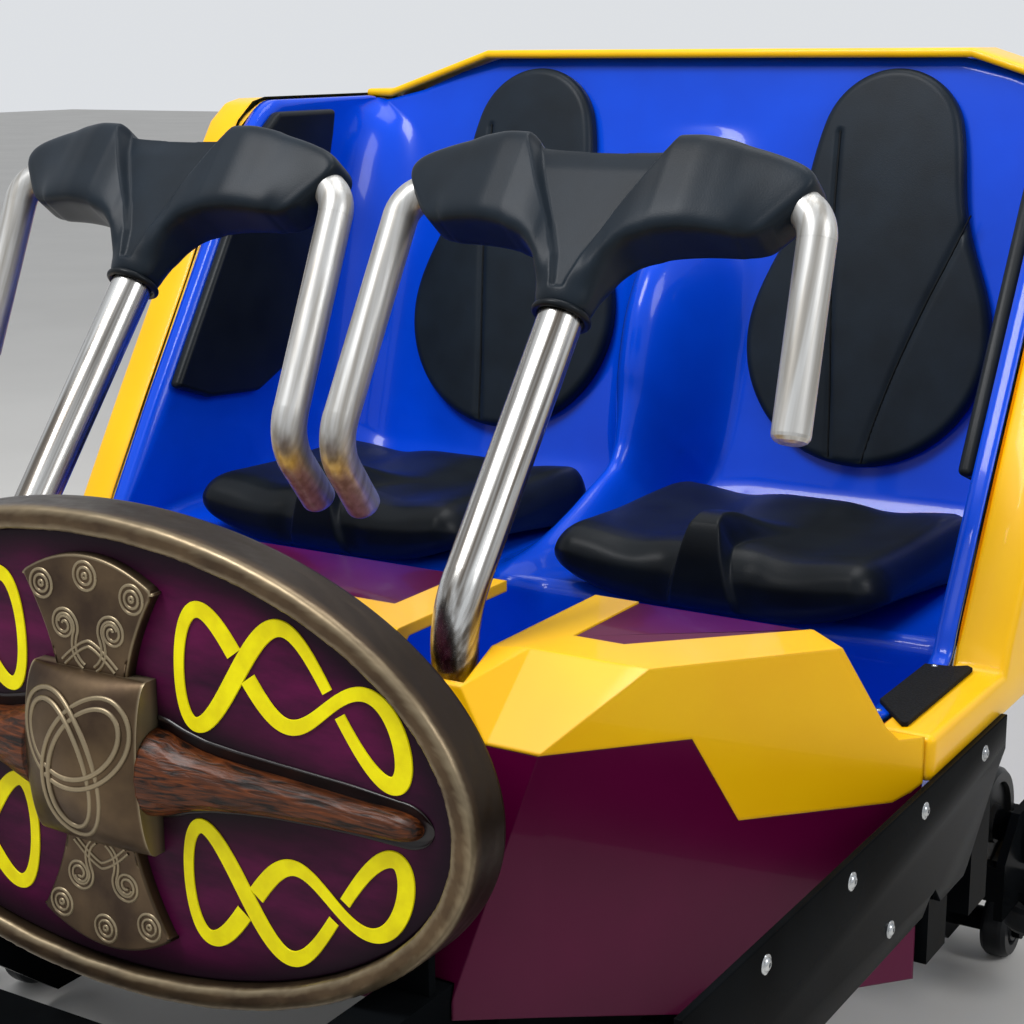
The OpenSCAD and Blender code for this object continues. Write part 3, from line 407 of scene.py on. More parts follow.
# base y, base z, edge y, edge z, corner radius, hump height, hump half width, crown
TUB_ROWS = np.array([
    [-362, FLOOR, -362, 612, 50, 0, 60, 0], [-270, FLOOR, -338, 612, 50, 0, 60, 0],
    [-150, FLOOR, -290, 612, 50, 0, 60, 0], [-40, FLOOR, -230, 612, 50, 0, 60, 0],
    [-14, FLOOR + 12, -205, 612, 50, 0, 60, 0], [-2, FLOOR + 40, -180, 612, 50, 4, 60, 0],
    [0, PAN - 50, -150, 612, 46, 10, 60, 0], [4, PAN - 14, -112, 612, 40, 18, 60, 0],
    [20, PAN, -94, 621, 50, 26, 62, 0], [60, PAN, -78, 650, 66, 40, 64, 0],
    [150, PAN, -50, 697, 74, 62, 65, 0], [250, PAN, 4, 786, 78, 90, 66, 0],
    [330, PAN, 50, 858, 90, 118, 66, 0], [392, PAN, 86, 914, 110, 140, 66, 0],
    [430, PAN + 12, 112, 955, 130, 160, 72, 0], [456, PAN + 44, 134, 990, 140, 176, 84, 0],
    [back(668) - 1, 668, 150, 1015, 136, 186, 98, 0], [back(716), 716, 166, 1040, 136, 192, 110, 0],
    [back(790), 790, 190, 1078, 134, 186, 115, 0], [back(870), 870, 214, 1116, 134, 164, 117, 0],
    [back(950), 950, 238, 1154, 134, 126, 117, 0], [back(1030), 1030, 262, 1192, 140, 78, 116, 0],
    [back(1100), 1100, 330, SHOULDER, 130, 36, 114, 0], [back(1160), 1160, 430, SHOULDER, 110, 10, 110, 0],
    [back(1200), 1200, 520, SHOULDER, 74, 0, 100, 0], [back(1230), 1230, 598, SHOULDER, 24, 0, 100, 1],
])


def tub_grid():
    """Half a section is (x, p): a cosine hump, a flat, a quarter circle, a wall and a flange.

    p is the height in the row's own leaning plane: a point is base + p·lean, raised by the crown.
    """
    run = [np.hypot(*np.diff(TUB_ROWS[:, k:k + 2], axis=0).T) for k in (0, 2)]
    knots = np.concatenate([[0], np.cumsum(run[0] + 0.4 * run[1])])
    at = [np.linspace(a, b, 8)[:-1] for a, b in zip(knots[:-1], knots[1:])]
    rows = through(knots, TUB_ROWS, np.concatenate(at + [[knots[-1]]]))
    base, edge = rows[:, :2], rows[:, 2:4]
    reach = np.hypot(*(edge - base).T)[:, None]
    lean = (edge - base) / reach
    top = reach - 4
    radius = np.minimum(rows[:, 4:5], reach * 0.7)
    flat = TUB_HALF - radius
    wide = np.minimum(rows[:, 6:7], flat)
    f = np.linspace(0, 1, 15)[None, :]
    x1, p1 = wide * f, rows[:, 5:6] * (0.5 + 0.5 * np.cos(math.pi * f))
    x2 = wide + (flat - wide) * np.linspace(0, 1, 8)[None, 1:]
    a = np.linspace(0, math.pi / 2, 13)[None, 1:]
    x3, p3 = flat + radius * np.sin(a), radius * (1 - np.cos(a))
    p4 = radius + (top - radius) * np.linspace(0, 1, 9)[None, 1:]
    flange = np.clip((edge[:, :1] + 338) / 48, 0.02, 1) * FLANGE
    x5 = TUB_HALF + flange * np.linspace(0, 1, 4)[None, 1:]
    x = np.hstack([x1, x2, x3, np.full_like(p4, TUB_HALF), x5])
    p = np.hstack([p1, np.zeros_like(x2), p3, p4, np.broadcast_to(top, x5.shape)])
    x, p = np.hstack([-x[:, :0:-1], x]), np.hstack([p[:, :0:-1], p])
    crown = CROWN_RISE * np.clip((596 - np.abs(x)) / 178, 0, 1) * rows[:, 7:8]
    y = base[:, :1] + lean[:, :1] * p + crown * BACK_LEAN
    z = base[:, 1:] + lean[:, 1:] * p + crown
    return np.stack([x, y, z], -1) / 1000


tub = skin("tub", tub_grid(), blue_gelcoat, "car")
wall = tub.modifiers.new("wall", "SOLIDIFY")
wall.thickness, wall.offset = WALL / 1000, 0
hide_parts("seat_tub")
print("tub points", len(tub.data.vertices))

# %% [markdown]
# ## Restraint heads
# A head is one foam moulding over a steel core: a round neck that spreads into two wings, with a
# sunken V between them. It is drawn as sections across its width. Each section is a rounded
# rectangle, and the neck is rounded a second time, seen from above.

# %% Head sections, in millimetres
SIDES = ((1, "left"), (-1, "right"))  # the riders' left is +X
SEAT_X = 310
COLLAR = np.array([-390.0, 1035.0])
POST_LEAN = math.radians(38)
# x, underside, top, back, front: along and across the post, from the collar
HEAD = np.array([
    [0, 0, 199, -34, 34], [20, 1, 199, -32, 34], [31, 8, 199, -28, 36], [38, 36, 199, -28, 38],
    [48, 60, 199, -29, 42], [68, 78, 200, -30, 47], [84, 84, 202, -30, 49], [95, 88, 213, -30, 50],
    [118, 92, 214, -30, 50],
    [150, 95, 212, -30, 45], [180, 96, 205, -30, 38], [202, 98, 194, -30, 32], [219, 99, 180, -29, 28],
    [231, 103, 163, -28, 25], [237, 114, 145, -20, 18],
])
NOTCH = np.array([[0, 4], [30, 7], [60, 15], [100, 34], [150, 62], [200, 88], [240, 100]])


def along_post(x, a, n):
    """Metres from (across, along, in front of) the post: y = a·sin 38° − n·cos 38°."""
    y = COLLAR[0] + a * math.sin(POST_LEAN) - n * math.cos(POST_LEAN)
    z = COLLAR[1] + a * math.cos(POST_LEAN) + n * math.sin(POST_LEAN)
    return np.stack([x, y, z], -1) / 1000


V_DEPTH = 27


def head_grid(side):
    """Section: centre + half·sgn(c)·|c|^e, for a along the post and n in front of it.

    The neck is pinched by (1 − |x/half|^q)^(1/q), the V is cut back to 27 mm before the post, and
    the ends slant at the post's 38°.
    """
    xs = np.unique(np.concatenate([np.linspace(0, 120, 67), np.linspace(120, 222, 40),
                                   np.linspace(222, 237, 12)]))
    rows = through(HEAD[:, 0], HEAD[:, 1:], xs)
    xs, rows = np.concatenate([-xs[:0:-1], xs]), np.vstack([rows[:0:-1], rows])
    # 168 points at even steps round the unit section, so that its corners stay crisp
    t = np.linspace(0, math.tau, 6001)
    unit = np.stack([np.sign(np.sin(t)) * np.abs(np.sin(t)) ** 0.30,
                     np.sign(np.cos(t)) * np.abs(np.cos(t)) ** 0.34])
    walk = np.concatenate([[0], np.cumsum(np.hypot(np.diff(unit[0]), 0.5 * np.diff(unit[1])))])
    even = (np.arange(168) + 0.5) / 168 * walk[-1]
    s, c = np.interp(even, walk, unit[0])[None, :], np.interp(even, walk, unit[1])[None, :]
    low, top, rear, face = rows.T[:, :, None]
    a = (low + top) / 2 + (top - low) / 2 * s
    n = (rear + face) / 2 + (face - rear) / 2 * c
    x = np.broadcast_to(xs[:, None], a.shape)
    half = np.interp(a, [0, 8, 36, 60, 78, 87, 92], [34, 35, 40, 50, 70, 94, 120])
    power = 2 + 6 * step(a, 20, 95)
    pinch = (1 - np.clip(np.abs(x) / half, 0, 0.999) ** power) ** (1 / power)
    n = n * (1 - (1 - pinch) * (1 - step(np.abs(x), 55, 95)))
    cut = np.interp(a, NOTCH[:, 0], NOTCH[:, 1])
    wing = step(np.abs(x), cut - 2, cut + 5)
    depth = V_DEPTH - 4 * step(a, 170, 200)
    n = np.where((n > depth) & (a > 22), depth + (n - depth) * wing, n)
    lean = step(np.abs(x), 170, 230) * math.tan(POST_LEAN + 0.005)
    return along_post(side * SEAT_X + x + np.sign(x) * lean * (a - 136), a, n)


for side, name in SIDES:
    head = skin("head_foam_" + name, head_grid(side), head_foam, "restraint_" + name,
                wrap=True, caps=True)
    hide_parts("restraint_head_" + name)
print("head faces", len(head.data.polygons))

# %% [markdown]
# ## Collars
# Where the tube enters the neck, the foam ends in a thin rolled edge, like the cuff of a glove.

# %% Rolled cuffs
def square_to(axis):
    """Three unit directions: two across the axis, by cross products, and the axis itself."""
    axis = np.asarray(axis, float) / np.linalg.norm(axis)
    side = np.cross(axis, (0, 0, 1) if abs(axis[2]) < 0.9 else (1, 0, 0))
    side /= np.linalg.norm(side)
    return side, np.cross(axis, side), axis


def ring_tube(centre, axis, radius, thick):
    """A torus: centre + (R + r·cos v)·(cos u, sin u), square to the axis, and r·sin v along it."""
    u = np.arange(48)[:, None] * math.tau / 48
    v = np.arange(13)[None, :] * math.tau / 12
    reach = radius + thick * np.cos(v)
    ring = np.stack([reach * np.cos(u), reach * np.sin(u), thick * np.sin(v) + 0 * u], -1)
    return centre + ring @ np.stack(square_to(axis))


for side, name in SIDES:
    post = (0, math.sin(POST_LEAN), math.cos(POST_LEAN))
    grid = ring_tube(along_post(side * SEAT_X, 0, 0), post, 0.03, 0.0042)
    cuff = skin("head_cuff_" + name, np.concatenate([grid, grid[:1]]), seat_foam, "restraint_" + name)
print("cuffs", cuff.name)

# %% [markdown]
# ## Seat cushions
# Each cushion is moulded with a rolled front edge and a wedge that rises between the thighs. One
# side profile is carried across the seat. The ends are tucked in along a quarter circle, and
# their underside sweeps up, as foam does over the edge of a bucket.

# %% Cushion profile, in millimetres
CUSHION = np.array([
    [-14, 0], [-26, 12], [-33, 30], [-34, 46], [-29, 64], [-18, 79], [0, 89], [24, 92], [60, 90],
    [180, 86], [300, 86], [352, 80], [370, 60], [376, 20], [370, 0],
])
# the same path through the raised wedge between the thighs
WEDGE = np.array([
    [-14, 0], [-30, 12], [-40, 30], [-42, 50], [-41, 76], [-36, 102], [-24, 124], [0, 132], [30, 128],
    [180, 84], [300, 84], [352, 79], [370, 60], [376, 20], [370, 0],
])


def cushion_grid(side):
    """Profile y(s), z(s), blended to the wedge where |x| < w(s); dished 9 mm under each thigh.

    Past 196 mm the ends are tucked in by √(1 − t²), and their underside sweeps up by 42·o².
    """
    path = np.concatenate([[0], np.cumsum(np.hypot(*np.diff(CUSHION, axis=0).T))])
    at = np.unique(np.concatenate([np.linspace(0, 150, 50), np.linspace(150, path[-1], 44)]))
    roll, prow = through(path, CUSHION, at), through(path, WEDGE, at)
    xs = np.unique(np.concatenate([np.linspace(0, 80, 54), np.linspace(80, 196, 30),
                                   196 + 43.5 * np.sin(np.linspace(0, math.pi / 2, 14))]))
    x = np.concatenate([-xs[:0:-1], xs])[:, None]
    half = np.interp(at, [0, 30, 118, 150, 260], [50, 44, 19, 15, 8])[None, :]
    soft = np.interp(at, [0, 110, 170, 300], [7, 9, 34, 90])[None, :]
    k = 1 - step(np.abs(x), half - 3, half + soft)
    y = roll[:, 0] * (1 - k) + prow[:, 0] * k
    z = roll[:, 1] * (1 - k) + prow[:, 1] * k
    top = step(roll[None, :, 1], 50, 84)
    z = z - 9 * np.exp(-((np.abs(x) - 112) / 52) ** 2) * top * (1 - k)
    y = y + 5 * np.exp(-((np.abs(x) - 62) / 22) ** 2) * (y < 40) * step(roll[None, :, 1], 4, 30) * (1 - k)
    tuck = np.clip((np.abs(x) - 196) / 44, 0, 0.9999)
    shrink = np.sqrt(1 - tuck ** 2)
    out = np.clip((np.abs(x) - 80) / 160, 0, 1)
    z = z * (0.42 + 0.58 * shrink) + 7 * tuck * top * step(y, 60, 260)
    z = z + 42 * out ** 2 * (1 - roll[None, :, 1] / 92) * (1 - step(y, 30, 150))
    y = np.where(y < 60, 60 + (y - 60) * (0.4 + 0.6 * shrink), y)
    y = np.where(y > 170, 170 + (y - 170) * (0.8 + 0.2 * shrink), y)
    full = np.broadcast_to(side * SEAT_X + x, z.shape)
    return np.stack([full, y, z + PAN + 0.3], -1) / 1000


for side, name in SIDES:
    cushion = skin("cushion_" + name, cushion_grid(side), seat_foam, "car",
                   wrap=True, caps=True)
    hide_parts("seat_cushion_" + name)
print("cushion faces", len(cushion.data.polygons))

# %% [markdown]
# ## Back pads
# A back pad is a flat foam moulding, wide at the loins and narrow at the shoulders, with a rolled
# rim and two curved seams. Its points lie between a middle line and the outline, so the rows of
# faces follow the rim.

# %% Back pads, in millimetres
PAD_FOOT, PAD_THICK = 703, 35.6
PAD_BULB, PAD_CREST, PAD_SPAN = 190, 110, 297
SEAMS = (np.array([[-30, 10], [-38, 90], [-50, 190], [-62, 290], [-72, 400], [-78, 500]]),
         np.array([[22, 6], [36, 70], [58, 150], [88, 240], [122, 330], [140, 380]]))


def pad_side(first, last, share, out):
    """A straight side drawn in by 12·sin² of the way along it."""
    return first + (last - first) * share - 12 * np.sin(math.pi * np.clip(share, 0, 1)) ** 2 * out


def pad_outline():
    """Even steps round two circles and the sides between them: big circle, side, small circle, side."""
    lean = math.asin((PAD_BULB - PAD_CREST) / PAD_SPAN)
    run = PAD_SPAN * math.cos(lean)
    mark = np.cumsum([0, PAD_BULB * (math.pi + 2 * lean), run, PAD_CREST * (math.pi - 2 * lean), run])
    at = (np.arange(240) * mark[-1] / 240)[:, None]
    low, high = np.array([0, PAD_BULB]), np.array([0, PAD_BULB + PAD_SPAN])
    a1 = math.pi - lean + at / PAD_BULB
    a2 = lean + (at - mark[2]) / PAD_CREST
    e = np.array([math.cos(lean), math.sin(lean)])
    m = e * (-1, 1)
    parts = [low + PAD_BULB * np.hstack([np.cos(a1), np.sin(a1)]),
             pad_side(low + PAD_BULB * e, high + PAD_CREST * e, (at - mark[1]) / run, e),
             high + PAD_CREST * np.hstack([np.cos(a2), np.sin(a2)]),
             pad_side(high + PAD_CREST * m, low + PAD_BULB * m, (at - mark[3]) / run, m)]
    pick = np.digitize(at, mark[1:-1])
    return np.select([pick == k for k in range(4)], parts)


def pad_height(u, v):
    """Forward height of the pad's face over its back, in mm: flat, with a 5 mm crown."""
    return PAD_THICK - 5 * np.clip((u / PAD_BULB) ** 2 + ((v - 300) / 320) ** 2, 0, 1)


def on_back(side, u, v, n):
    """Metres from (across, up, forward of) the backrest's face."""
    lean = math.atan(BACK_LEAN)
    y = back(PAD_FOOT) - 0.3 + v * math.sin(lean) - n * math.cos(lean)
    z = PAD_FOOT + v * math.cos(lean) + n * math.sin(lean)
    return np.stack([side * SEAT_X + u, y, z], -1) / 1000


def pad_grid(side):
    """Rim: a quarter circle of 13 mm; along each seam a Gaussian groove, 4.4 mm deep."""
    rim = pad_outline()
    mid = np.stack([np.zeros(len(rim)), np.clip(rim[:, 1], PAD_BULB, PAD_BULB + PAD_SPAN)], -1)
    reach = np.linalg.norm(rim - mid, axis=1)[:, None]
    face = np.linspace(0, 1, 44)
    turn = np.linspace(0, math.pi / 2, 9)[1:]
    drop = np.concatenate([np.zeros(44), 13 - 13 * np.cos(turn), [PAD_THICK * 0.62, PAD_THICK]])
    near = np.concatenate([face, np.ones(len(turn) + 2)])
    inset = np.concatenate([np.full(44, 13.0), 13 - 13 * np.sin(turn), [0, 4]])
    k = near[None, :] * (1 - inset[None, :] / reach)
    u = mid[:, :1] + (rim - mid)[:, :1] * k
    v = mid[:, 1:] + (rim - mid)[:, 1:] * k
    n = np.maximum(pad_height(u, v) - drop[None, :], 0)
    n[:, -1] = 0
    for seam in SEAMS:
        centre = np.interp(v, seam[:, 1], seam[:, 0], left=1e3, right=1e3)
        n = n - 4.4 * np.exp(-((u - centre) / 4.2) ** 2) * (n > 20)
    return on_back(side, u, v, n)


def seam_line(side, seam):
    """A thin welt down the groove: a hexagon of 1.5 mm carried along the seam."""
    at = np.linspace(seam[0, 1], seam[-1, 1], 60)
    u = through(seam[:, 1], seam[:, :1], at)[:, 0]
    n = pad_height(u, at) - 3.4
    a = np.arange(7) * math.tau / 6
    return on_back(side, u[:, None] + 1.5 * np.cos(a), at[:, None] + 0 * a, n[:, None] + 1.5 * np.sin(a))


for side, name in SIDES:
    grid = pad_grid(side)
    pad = skin("back_foam_" + name, np.concatenate([grid, grid[:1]]), head_foam, "car")
    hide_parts("back_pad_" + name)
    for k, seam in enumerate(SEAMS):
        skin(f"back_welt_{name}_{k}", seam_line(side, seam), pad_foam, "car")
print("pad faces", len(pad.data.polygons))

# %% [markdown]
# ## Rolled edges on the moulded panels
# A glass-fibre panel leaves its mould with rounded edges, which catch a thin line of light. A
# copy of each solid is merged, its flat faces are joined, and its edges are rolled over by a
# bevel. Near a thin rim the bevel is held to less than half of the wall. The two side pads are
# foam, so their edges are rounder.

# %% Roll the edges
def roll_edges(node_name, width_mm, segments=3):
    """Bevel weight per edge = 0.42 · thickness of the thinner face beside it / width, at most 1."""
    source = frame["nodes"][node_name]
    mesh = source.data.copy()
    work = bmesh.new()
    work.from_mesh(mesh)
    bmesh.ops.remove_doubles(work, verts=work.verts, dist=2e-5)
    bmesh.ops.dissolve_limit(work, angle_limit=math.radians(0.3), verts=work.verts, edges=work.edges)
    thick = {f.index: f.calc_area() / max(e.calc_length() for e in f.edges) for f in work.faces}
    weight = work.edges.layers.float.new("bevel_weight_edge")
    for edge in work.edges:
        if len(edge.link_faces) == 2 and edge.calc_face_angle() > math.radians(24):
            thin = min(thick[f.index] for f in edge.link_faces)
            edge[weight] = min(1.0, 0.42 * thin / (width_mm / 1000))
    work.to_mesh(mesh)
    work.free()
    mesh.polygons.foreach_set("use_smooth", [True] * len(mesh.polygons))
    piece = in_scene(node_name + "_rolled", mesh)
    bevel = piece.modifiers.new("rolled edge", "BEVEL")
    bevel.width, bevel.segments, bevel.limit_method = width_mm / 1000, segments, "WEIGHT"
    bevel.use_clamp_overlap, bevel.harden_normals = False, True
    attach(piece, "car")
    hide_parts(node_name)
    return piece


ROLLED = {"knee_deck": 4, "side_panel_left": 9, "side_panel_right": 9, "back_cover": 4, "top_trim": 6,
          "step_pads": 1.5, "skirt_plate_left": 1.5, "skirt_plate_right": 1.5, "shield_board": 3}
for node_name, width in ROLLED.items():
    piece = roll_edges(node_name, width)
    print(node_name, len(piece.data.polygons), "faces before its bevel")
side_foam = roll_edges("side_pads", 9, segments=6)

# %% [markdown]
# ## The shield
# Its parts were carved and cast, so they are drawn by height over the board: a point has a place
# (x, z) on the board and stands forward by d. The rim is one profile carried round the ellipse.

# %% Rim
BOARD_Y, RIM_FRONT, RIM_X, RIM_Z = -804.3, 17.7, 466, 262
RIM_PROFILE = np.array([[0, 60], [0, 30], [0, 9], [1.5, 4], [5, 1.2], [11, 0.3], [18, 0.3], [23, 1.6],
                        [25.4, 5], [26, 12], [26, 30], [26, 60]])


def on_board(x, z, d):
    """Metres from (across, up, forward of the board), in mm."""
    return np.stack(np.broadcast_arrays(x, BOARD_Y - d, SHIELD_Z + z), -1) / 1000


def rim_grid():
    """x = (466 − e)·cos t, z = (262 − e)·sin t, with e and depth from the profile, hammered ±0.5 mm."""
    t = np.arange(361)[:, None] * math.tau / 360
    run = np.concatenate([[0], np.cumsum(np.hypot(*np.diff(RIM_PROFILE, axis=0).T))])
    e, depth = through(run, RIM_PROFILE, np.linspace(0, run[-1], 46)).T[:, None, :]
    dent = 0.35 * np.sin(61 * t + 0.25 * depth) + 0.25 * np.sin(97 * t - 0.31 * e)
    dent = np.where(depth < 45, np.abs(dent), 0)
    e = e + np.sign(13 - e) * dent
    return on_board((RIM_X - e) * np.cos(t), (RIM_Z - e) * np.sin(t), RIM_FRONT - depth - dent)


rim = skin("shield_rim_cast", rim_grid(), bronze, "car", wrap=True)
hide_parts("shield_rim")
print("rim faces", len(rim.data.polygons))

# %% [markdown]
# ## Strap and boss
# The strap widens to an axe-shaped end above and below, and its middle swells to a boss that is
# cut off square at both sides, where the wooden bar goes in.

# %% Strap and boss
STRAP_HALF, STRAP_FLARE, STRAP_REACH, STRAP_BULGE, STRAP_TOP = 46, 44, 188, 28, 13.6


def strap_grid(sign):
    """Half width 46 + 44·w^1.7, end bulged by 28·(1 − f²); the edges are rolled on 3 mm circles."""
    roll = np.linspace(0, math.pi / 2, 5)
    side = np.concatenate([[0], 10.6 + 3 * np.sin(roll)])
    lie = np.concatenate([[0], 3 - 3 * np.cos(roll)])
    f = np.linspace(-1, 1, 43)[1:-1]
    f = np.concatenate([np.full(6, -1.0), f, np.full(6, 1.0)])[None, :]
    lie = np.concatenate([lie, np.full(41, 3.0), lie[::-1]])[None, :]
    height = np.concatenate([side, np.full(41, STRAP_TOP), side[::-1]])[None, :]
    v = np.concatenate([np.linspace(0, 1, 60), np.full(6, 1.0)])[:, None]
    tip = np.concatenate([np.full(60, 3.0), 3 - 3 * np.sin(roll), [0]])[:, None]
    low = np.concatenate([np.zeros(60), 3 - 3 * np.cos(roll), [STRAP_TOP]])[:, None]
    half = STRAP_HALF + STRAP_FLARE * np.clip((v - 0.36) / 0.64, 0, 1) ** 1.7
    x = np.sign(f) * np.clip(np.abs(f) * half, 0, half - np.minimum(lie, 3) * (np.abs(f) == 1))
    z = v * (STRAP_REACH + STRAP_BULGE * (1 - f ** 2)) - tip * (v == 1)
    return on_board(x, sign * z, np.maximum(height - low, 0))


BOSS_X, BOSS_Z = 77, 94


def boss_height(x, z):
    """14 + 44·(1 − 0.5 f²)·√(1 − g²), with f = x/77 and g = z/94."""
    f, g = np.clip(x / BOSS_X, -1, 1), np.clip(z / BOSS_Z, -1, 1)
    return 14 + 44 * (1 - 0.5 * f ** 2) * np.sqrt(1 - g ** 2)


def boss_grid():
    """Rows across the boss, closer together where its top and bottom turn down to the board."""
    x = np.broadcast_to(np.linspace(-BOSS_X, BOSS_X, 78)[:, None], (78, 80))
    z = BOSS_Z * np.sin(np.linspace(-math.pi / 2, math.pi / 2, 80))[None, :]
    over = on_board(x, z, boss_height(x, z))
    under = on_board(x[:, :2], np.array([[BOSS_Z, -BOSS_Z]]), 0 * x[:, :2])
    return np.concatenate([over, under], 1)


boss = skin("shield_boss", boss_grid(), bronze, "car", wrap=True, caps=True)
boss.data.set_sharp_from_angle(angle=math.radians(40))
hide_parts("shield_strap")
LEVELS = ((1, "upper"), (-1, "lower"))
for sign, name in LEVELS:
    strap = skin("shield_strap_" + name, strap_grid(sign), bronze, "car")
print("boss", len(boss.data.polygons), "strap", len(strap.data.polygons))

# %% [markdown]
# ## Raised lines
# The ornament is a cord of half-round section laid on the surface. This one is a plain
# interlace: rings, scrolls and a three-lobed knot, each strand drawn as two cords side by side.

# %% Cast ornament
def line_normals(path):
    """The tangent by central differences, made a unit long and turned by 90°."""
    tangent = np.gradient(path, axis=0)
    tangent /= np.linalg.norm(tangent, axis=1)[:, None] + 1e-9
    return np.stack([-tangent[:, 1], tangent[:, 0]], -1)


def offset_line(path, shift):
    return path + shift * line_normals(path)


def cords(name, paths, radius, height, lift=0.0):
    """Each path carries a half circle (r·cos v across, r·sin v forward) on height(x, z) + lift."""
    v = np.linspace(0, math.pi, 7)
    points, faces, first = [], [], 0
    for path in paths:
        normal = line_normals(path)
        x = path[:, :1] + normal[:, :1] * radius * np.cos(v)
        z = path[:, 1:] + normal[:, 1:] * radius * np.cos(v)
        d = height(path[:, :1], path[:, 1:]) + radius * np.sin(v) - 0.25 * radius + lift
        points.append(on_board(x, z, d).reshape(-1, 3))
        m, n = len(path), len(v)
        cell = np.arange(m - 1)[:, None] * n + first + np.arange(n - 1)[None, :]
        faces += np.stack([cell, cell + 1, cell + n + 1, cell + n], -1).reshape(-1, 4).tolist()
        first += m * n
    return dress(name, np.concatenate(points), faces, bronze, "car")


def strap_height(x, z):
    return STRAP_TOP + 0 * x


def circle(cx, cz, r):
    t = np.linspace(0, math.tau, 41)
    return np.stack([cx + r * np.cos(t), cz + r * np.sin(t)], -1)


def scroll(sx, sz):
    """A tail that runs into a spiral: r falls from 17 to 5 mm over one and a half turns."""
    t = np.linspace(0, 1, 70)
    r, a = 17 - 12 * t, math.pi * (1.15 - 3.0 * t)
    curl = np.stack([33 + r * np.cos(a), 138 + r * np.sin(a)], -1)
    u = np.linspace(0, 1, 40)[:, None]
    p0, p1, p2 = np.array([[8, 96]]), np.array([[26, 108]]), curl[:1]
    tail = (1 - u) ** 2 * p0 + 2 * u * (1 - u) * p1 + u ** 2 * p2
    return np.concatenate([tail[:-1], curl]) * (sx, sz)


def arch(sz):
    """A pointed arch over the boss: x = 36·t, z = 98 + 24·(1 − |t|^1.4)."""
    t = np.linspace(-1, 1, 61)
    return np.stack([36 * t, 98 + 24 * (1 - np.abs(t) ** 1.4)], -1) * (1, sz)


rings = [circle(x, sz * z, r) for sz in (1, -1) for x, z in ((-62, 178), (0, 194), (62, 178))
         for r in (15, 9, 2.6)]
scrolls = [offset_line(scroll(sx, sz), w) for sx in (1, -1) for sz in (1, -1) for w in (-2.6, 2.6)]
arches = [offset_line(arch(sz), w) for sz in (1, -1) for w in (-3, 3)]
cords("shield_strap_relief", rings + scrolls + arches, 2.0, strap_height)

# the three-lobed knot: x = 24·(sin t + 2·sin 2t), z = 28·(cos t − 2·cos 2t) + 13
t = np.linspace(0, math.tau, 401)
line = np.stack([24 * (np.sin(t) + 2 * np.sin(2 * t)), 28 * (np.cos(t) - 2 * np.cos(2 * t)) + 13], -1)
weave = [offset_line(line, w) for w in (-5.2, 5.2)]
relief = cords("shield_boss_relief", weave, 3.1, boss_height, 1.2 * np.sin(3 * t)[:, None])
print("relief faces", len(relief.data.polygons))

# %% [markdown]
# ## The carved bar
# A bar of dark wood goes through the boss and tapers to a blunt tip on each side. Its half-round
# section is cut by shallow flutes that wander along the grain. It lies on a near-black strip with a lip, a
# painted shadow.

# %% Carved bar
BAR = np.array([[78, 47, 42], [92, 44, 41], [112, 37, 37], [140, 30, 32], [180, 25, 28], [230, 21, 25],
                [290, 18, 22], [340, 16, 20], [376, 14.5, 18], [394, 11, 14], [401, 6, 8], [403, 1, 1.5]])


def bar_grid(side):
    """z = r(x)·cos v, d = h(x)·sin^0.8 v, less flutes of 0.9 mm that follow a wandering phase."""
    xs = np.concatenate([np.linspace(78, 376, 150), 376 + 27 * np.sin(np.linspace(0.1, math.pi / 2, 12))])
    r, h = through(BAR[:, 0], BAR[:, 1:], xs).T[:, :, None]
    v = np.linspace(0, math.pi, 64)[None, :]
    x = xs[:, None]
    flute = 0.9 * np.abs(np.sin(9 * v + 1.6 * np.sin(x / 37) + 0.8 * np.sin(x / 11))) * np.clip(r / 20, 0, 1)
    eye = 2.5 * np.exp(-(((x - 118) / 16) ** 2 + ((v - 1.2) / 0.35) ** 2))
    d = (h - flute + eye) * np.sin(v) ** 0.8
    return on_board(side * x, r * np.cos(v) - 4 * (1 - step(x, 78, 250)), np.maximum(d, 0))


def bar_shadow_grid(side):
    """A near-black strip round the bar, its painted shadow: z = (r + 9)·c for c from 1 to −1, its end rounded
    by √(1 − t²); a lip of 2.4 mm runs round it.
    """
    xs = np.concatenate([np.linspace(78, 380, 60), 380 + 34 * np.sin(np.linspace(0.1, math.pi / 2, 12))])
    r = np.interp(np.minimum(xs, 376), BAR[:, 0], BAR[:, 1])[:, None] + 9
    r = r * np.where(xs > 380, np.sqrt(np.clip(1 - ((xs - 380) / 34.2) ** 2, 0, 1)), 1)[:, None]
    across = np.array([1, 0.98, 0.93, 0.88, 0.5, -0.5, -0.88, -0.93, -0.98, -1])[None, :]
    lip = np.array([0.2, 2.0, 2.4, 0.6, 0.6, 0.6, 0.6, 2.4, 2.0, 0.2])[None, :]
    z = r * across + 4 * (1 - step(xs, 300, 414))[:, None] - 4 * (1 - step(xs, 78, 250))[:, None]
    return on_board(side * xs[:, None], z, lip * np.clip(r / 14, 0.1, 1))


for side, name in SIDES:
    # the near-black strip round the bar is a painted shadow
    skin("shield_bar_shadow_" + name, bar_shadow_grid(side), bar_shadow_paint, "car")
    bar = skin("shield_bar_" + name, bar_grid(side), bar_wood, "car", wrap=True, caps=True)
    if side > 0:
        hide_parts("shield_bar")
print("bar faces", len(bar.data.polygons))

# %% [markdown]
# ## Painted knots
# Four knots in yellow enamel: a chain of three loops of my own, bent along the edge of the board.
# Where a strand goes under another, it stops short, which is what makes a drawn line look woven.

# %% Painted knots
def knot_line():
    """x = 245 + 128·cos t + 8·cos 3t; z = a bent axis + (49 − 0.1·(x − 245))·sin 3t."""
    t = np.arange(600) * math.tau / 600
    x = 245 + 128 * np.cos(t) + 8 * np.cos(3 * t)
    z = 126 - 0.0021 * (x - 205) ** 2 + (49 - 0.10 * (x - 245)) * np.sin(3 * t)
    return np.stack([x, z], -1), np.sin(2 * t + 0.9)


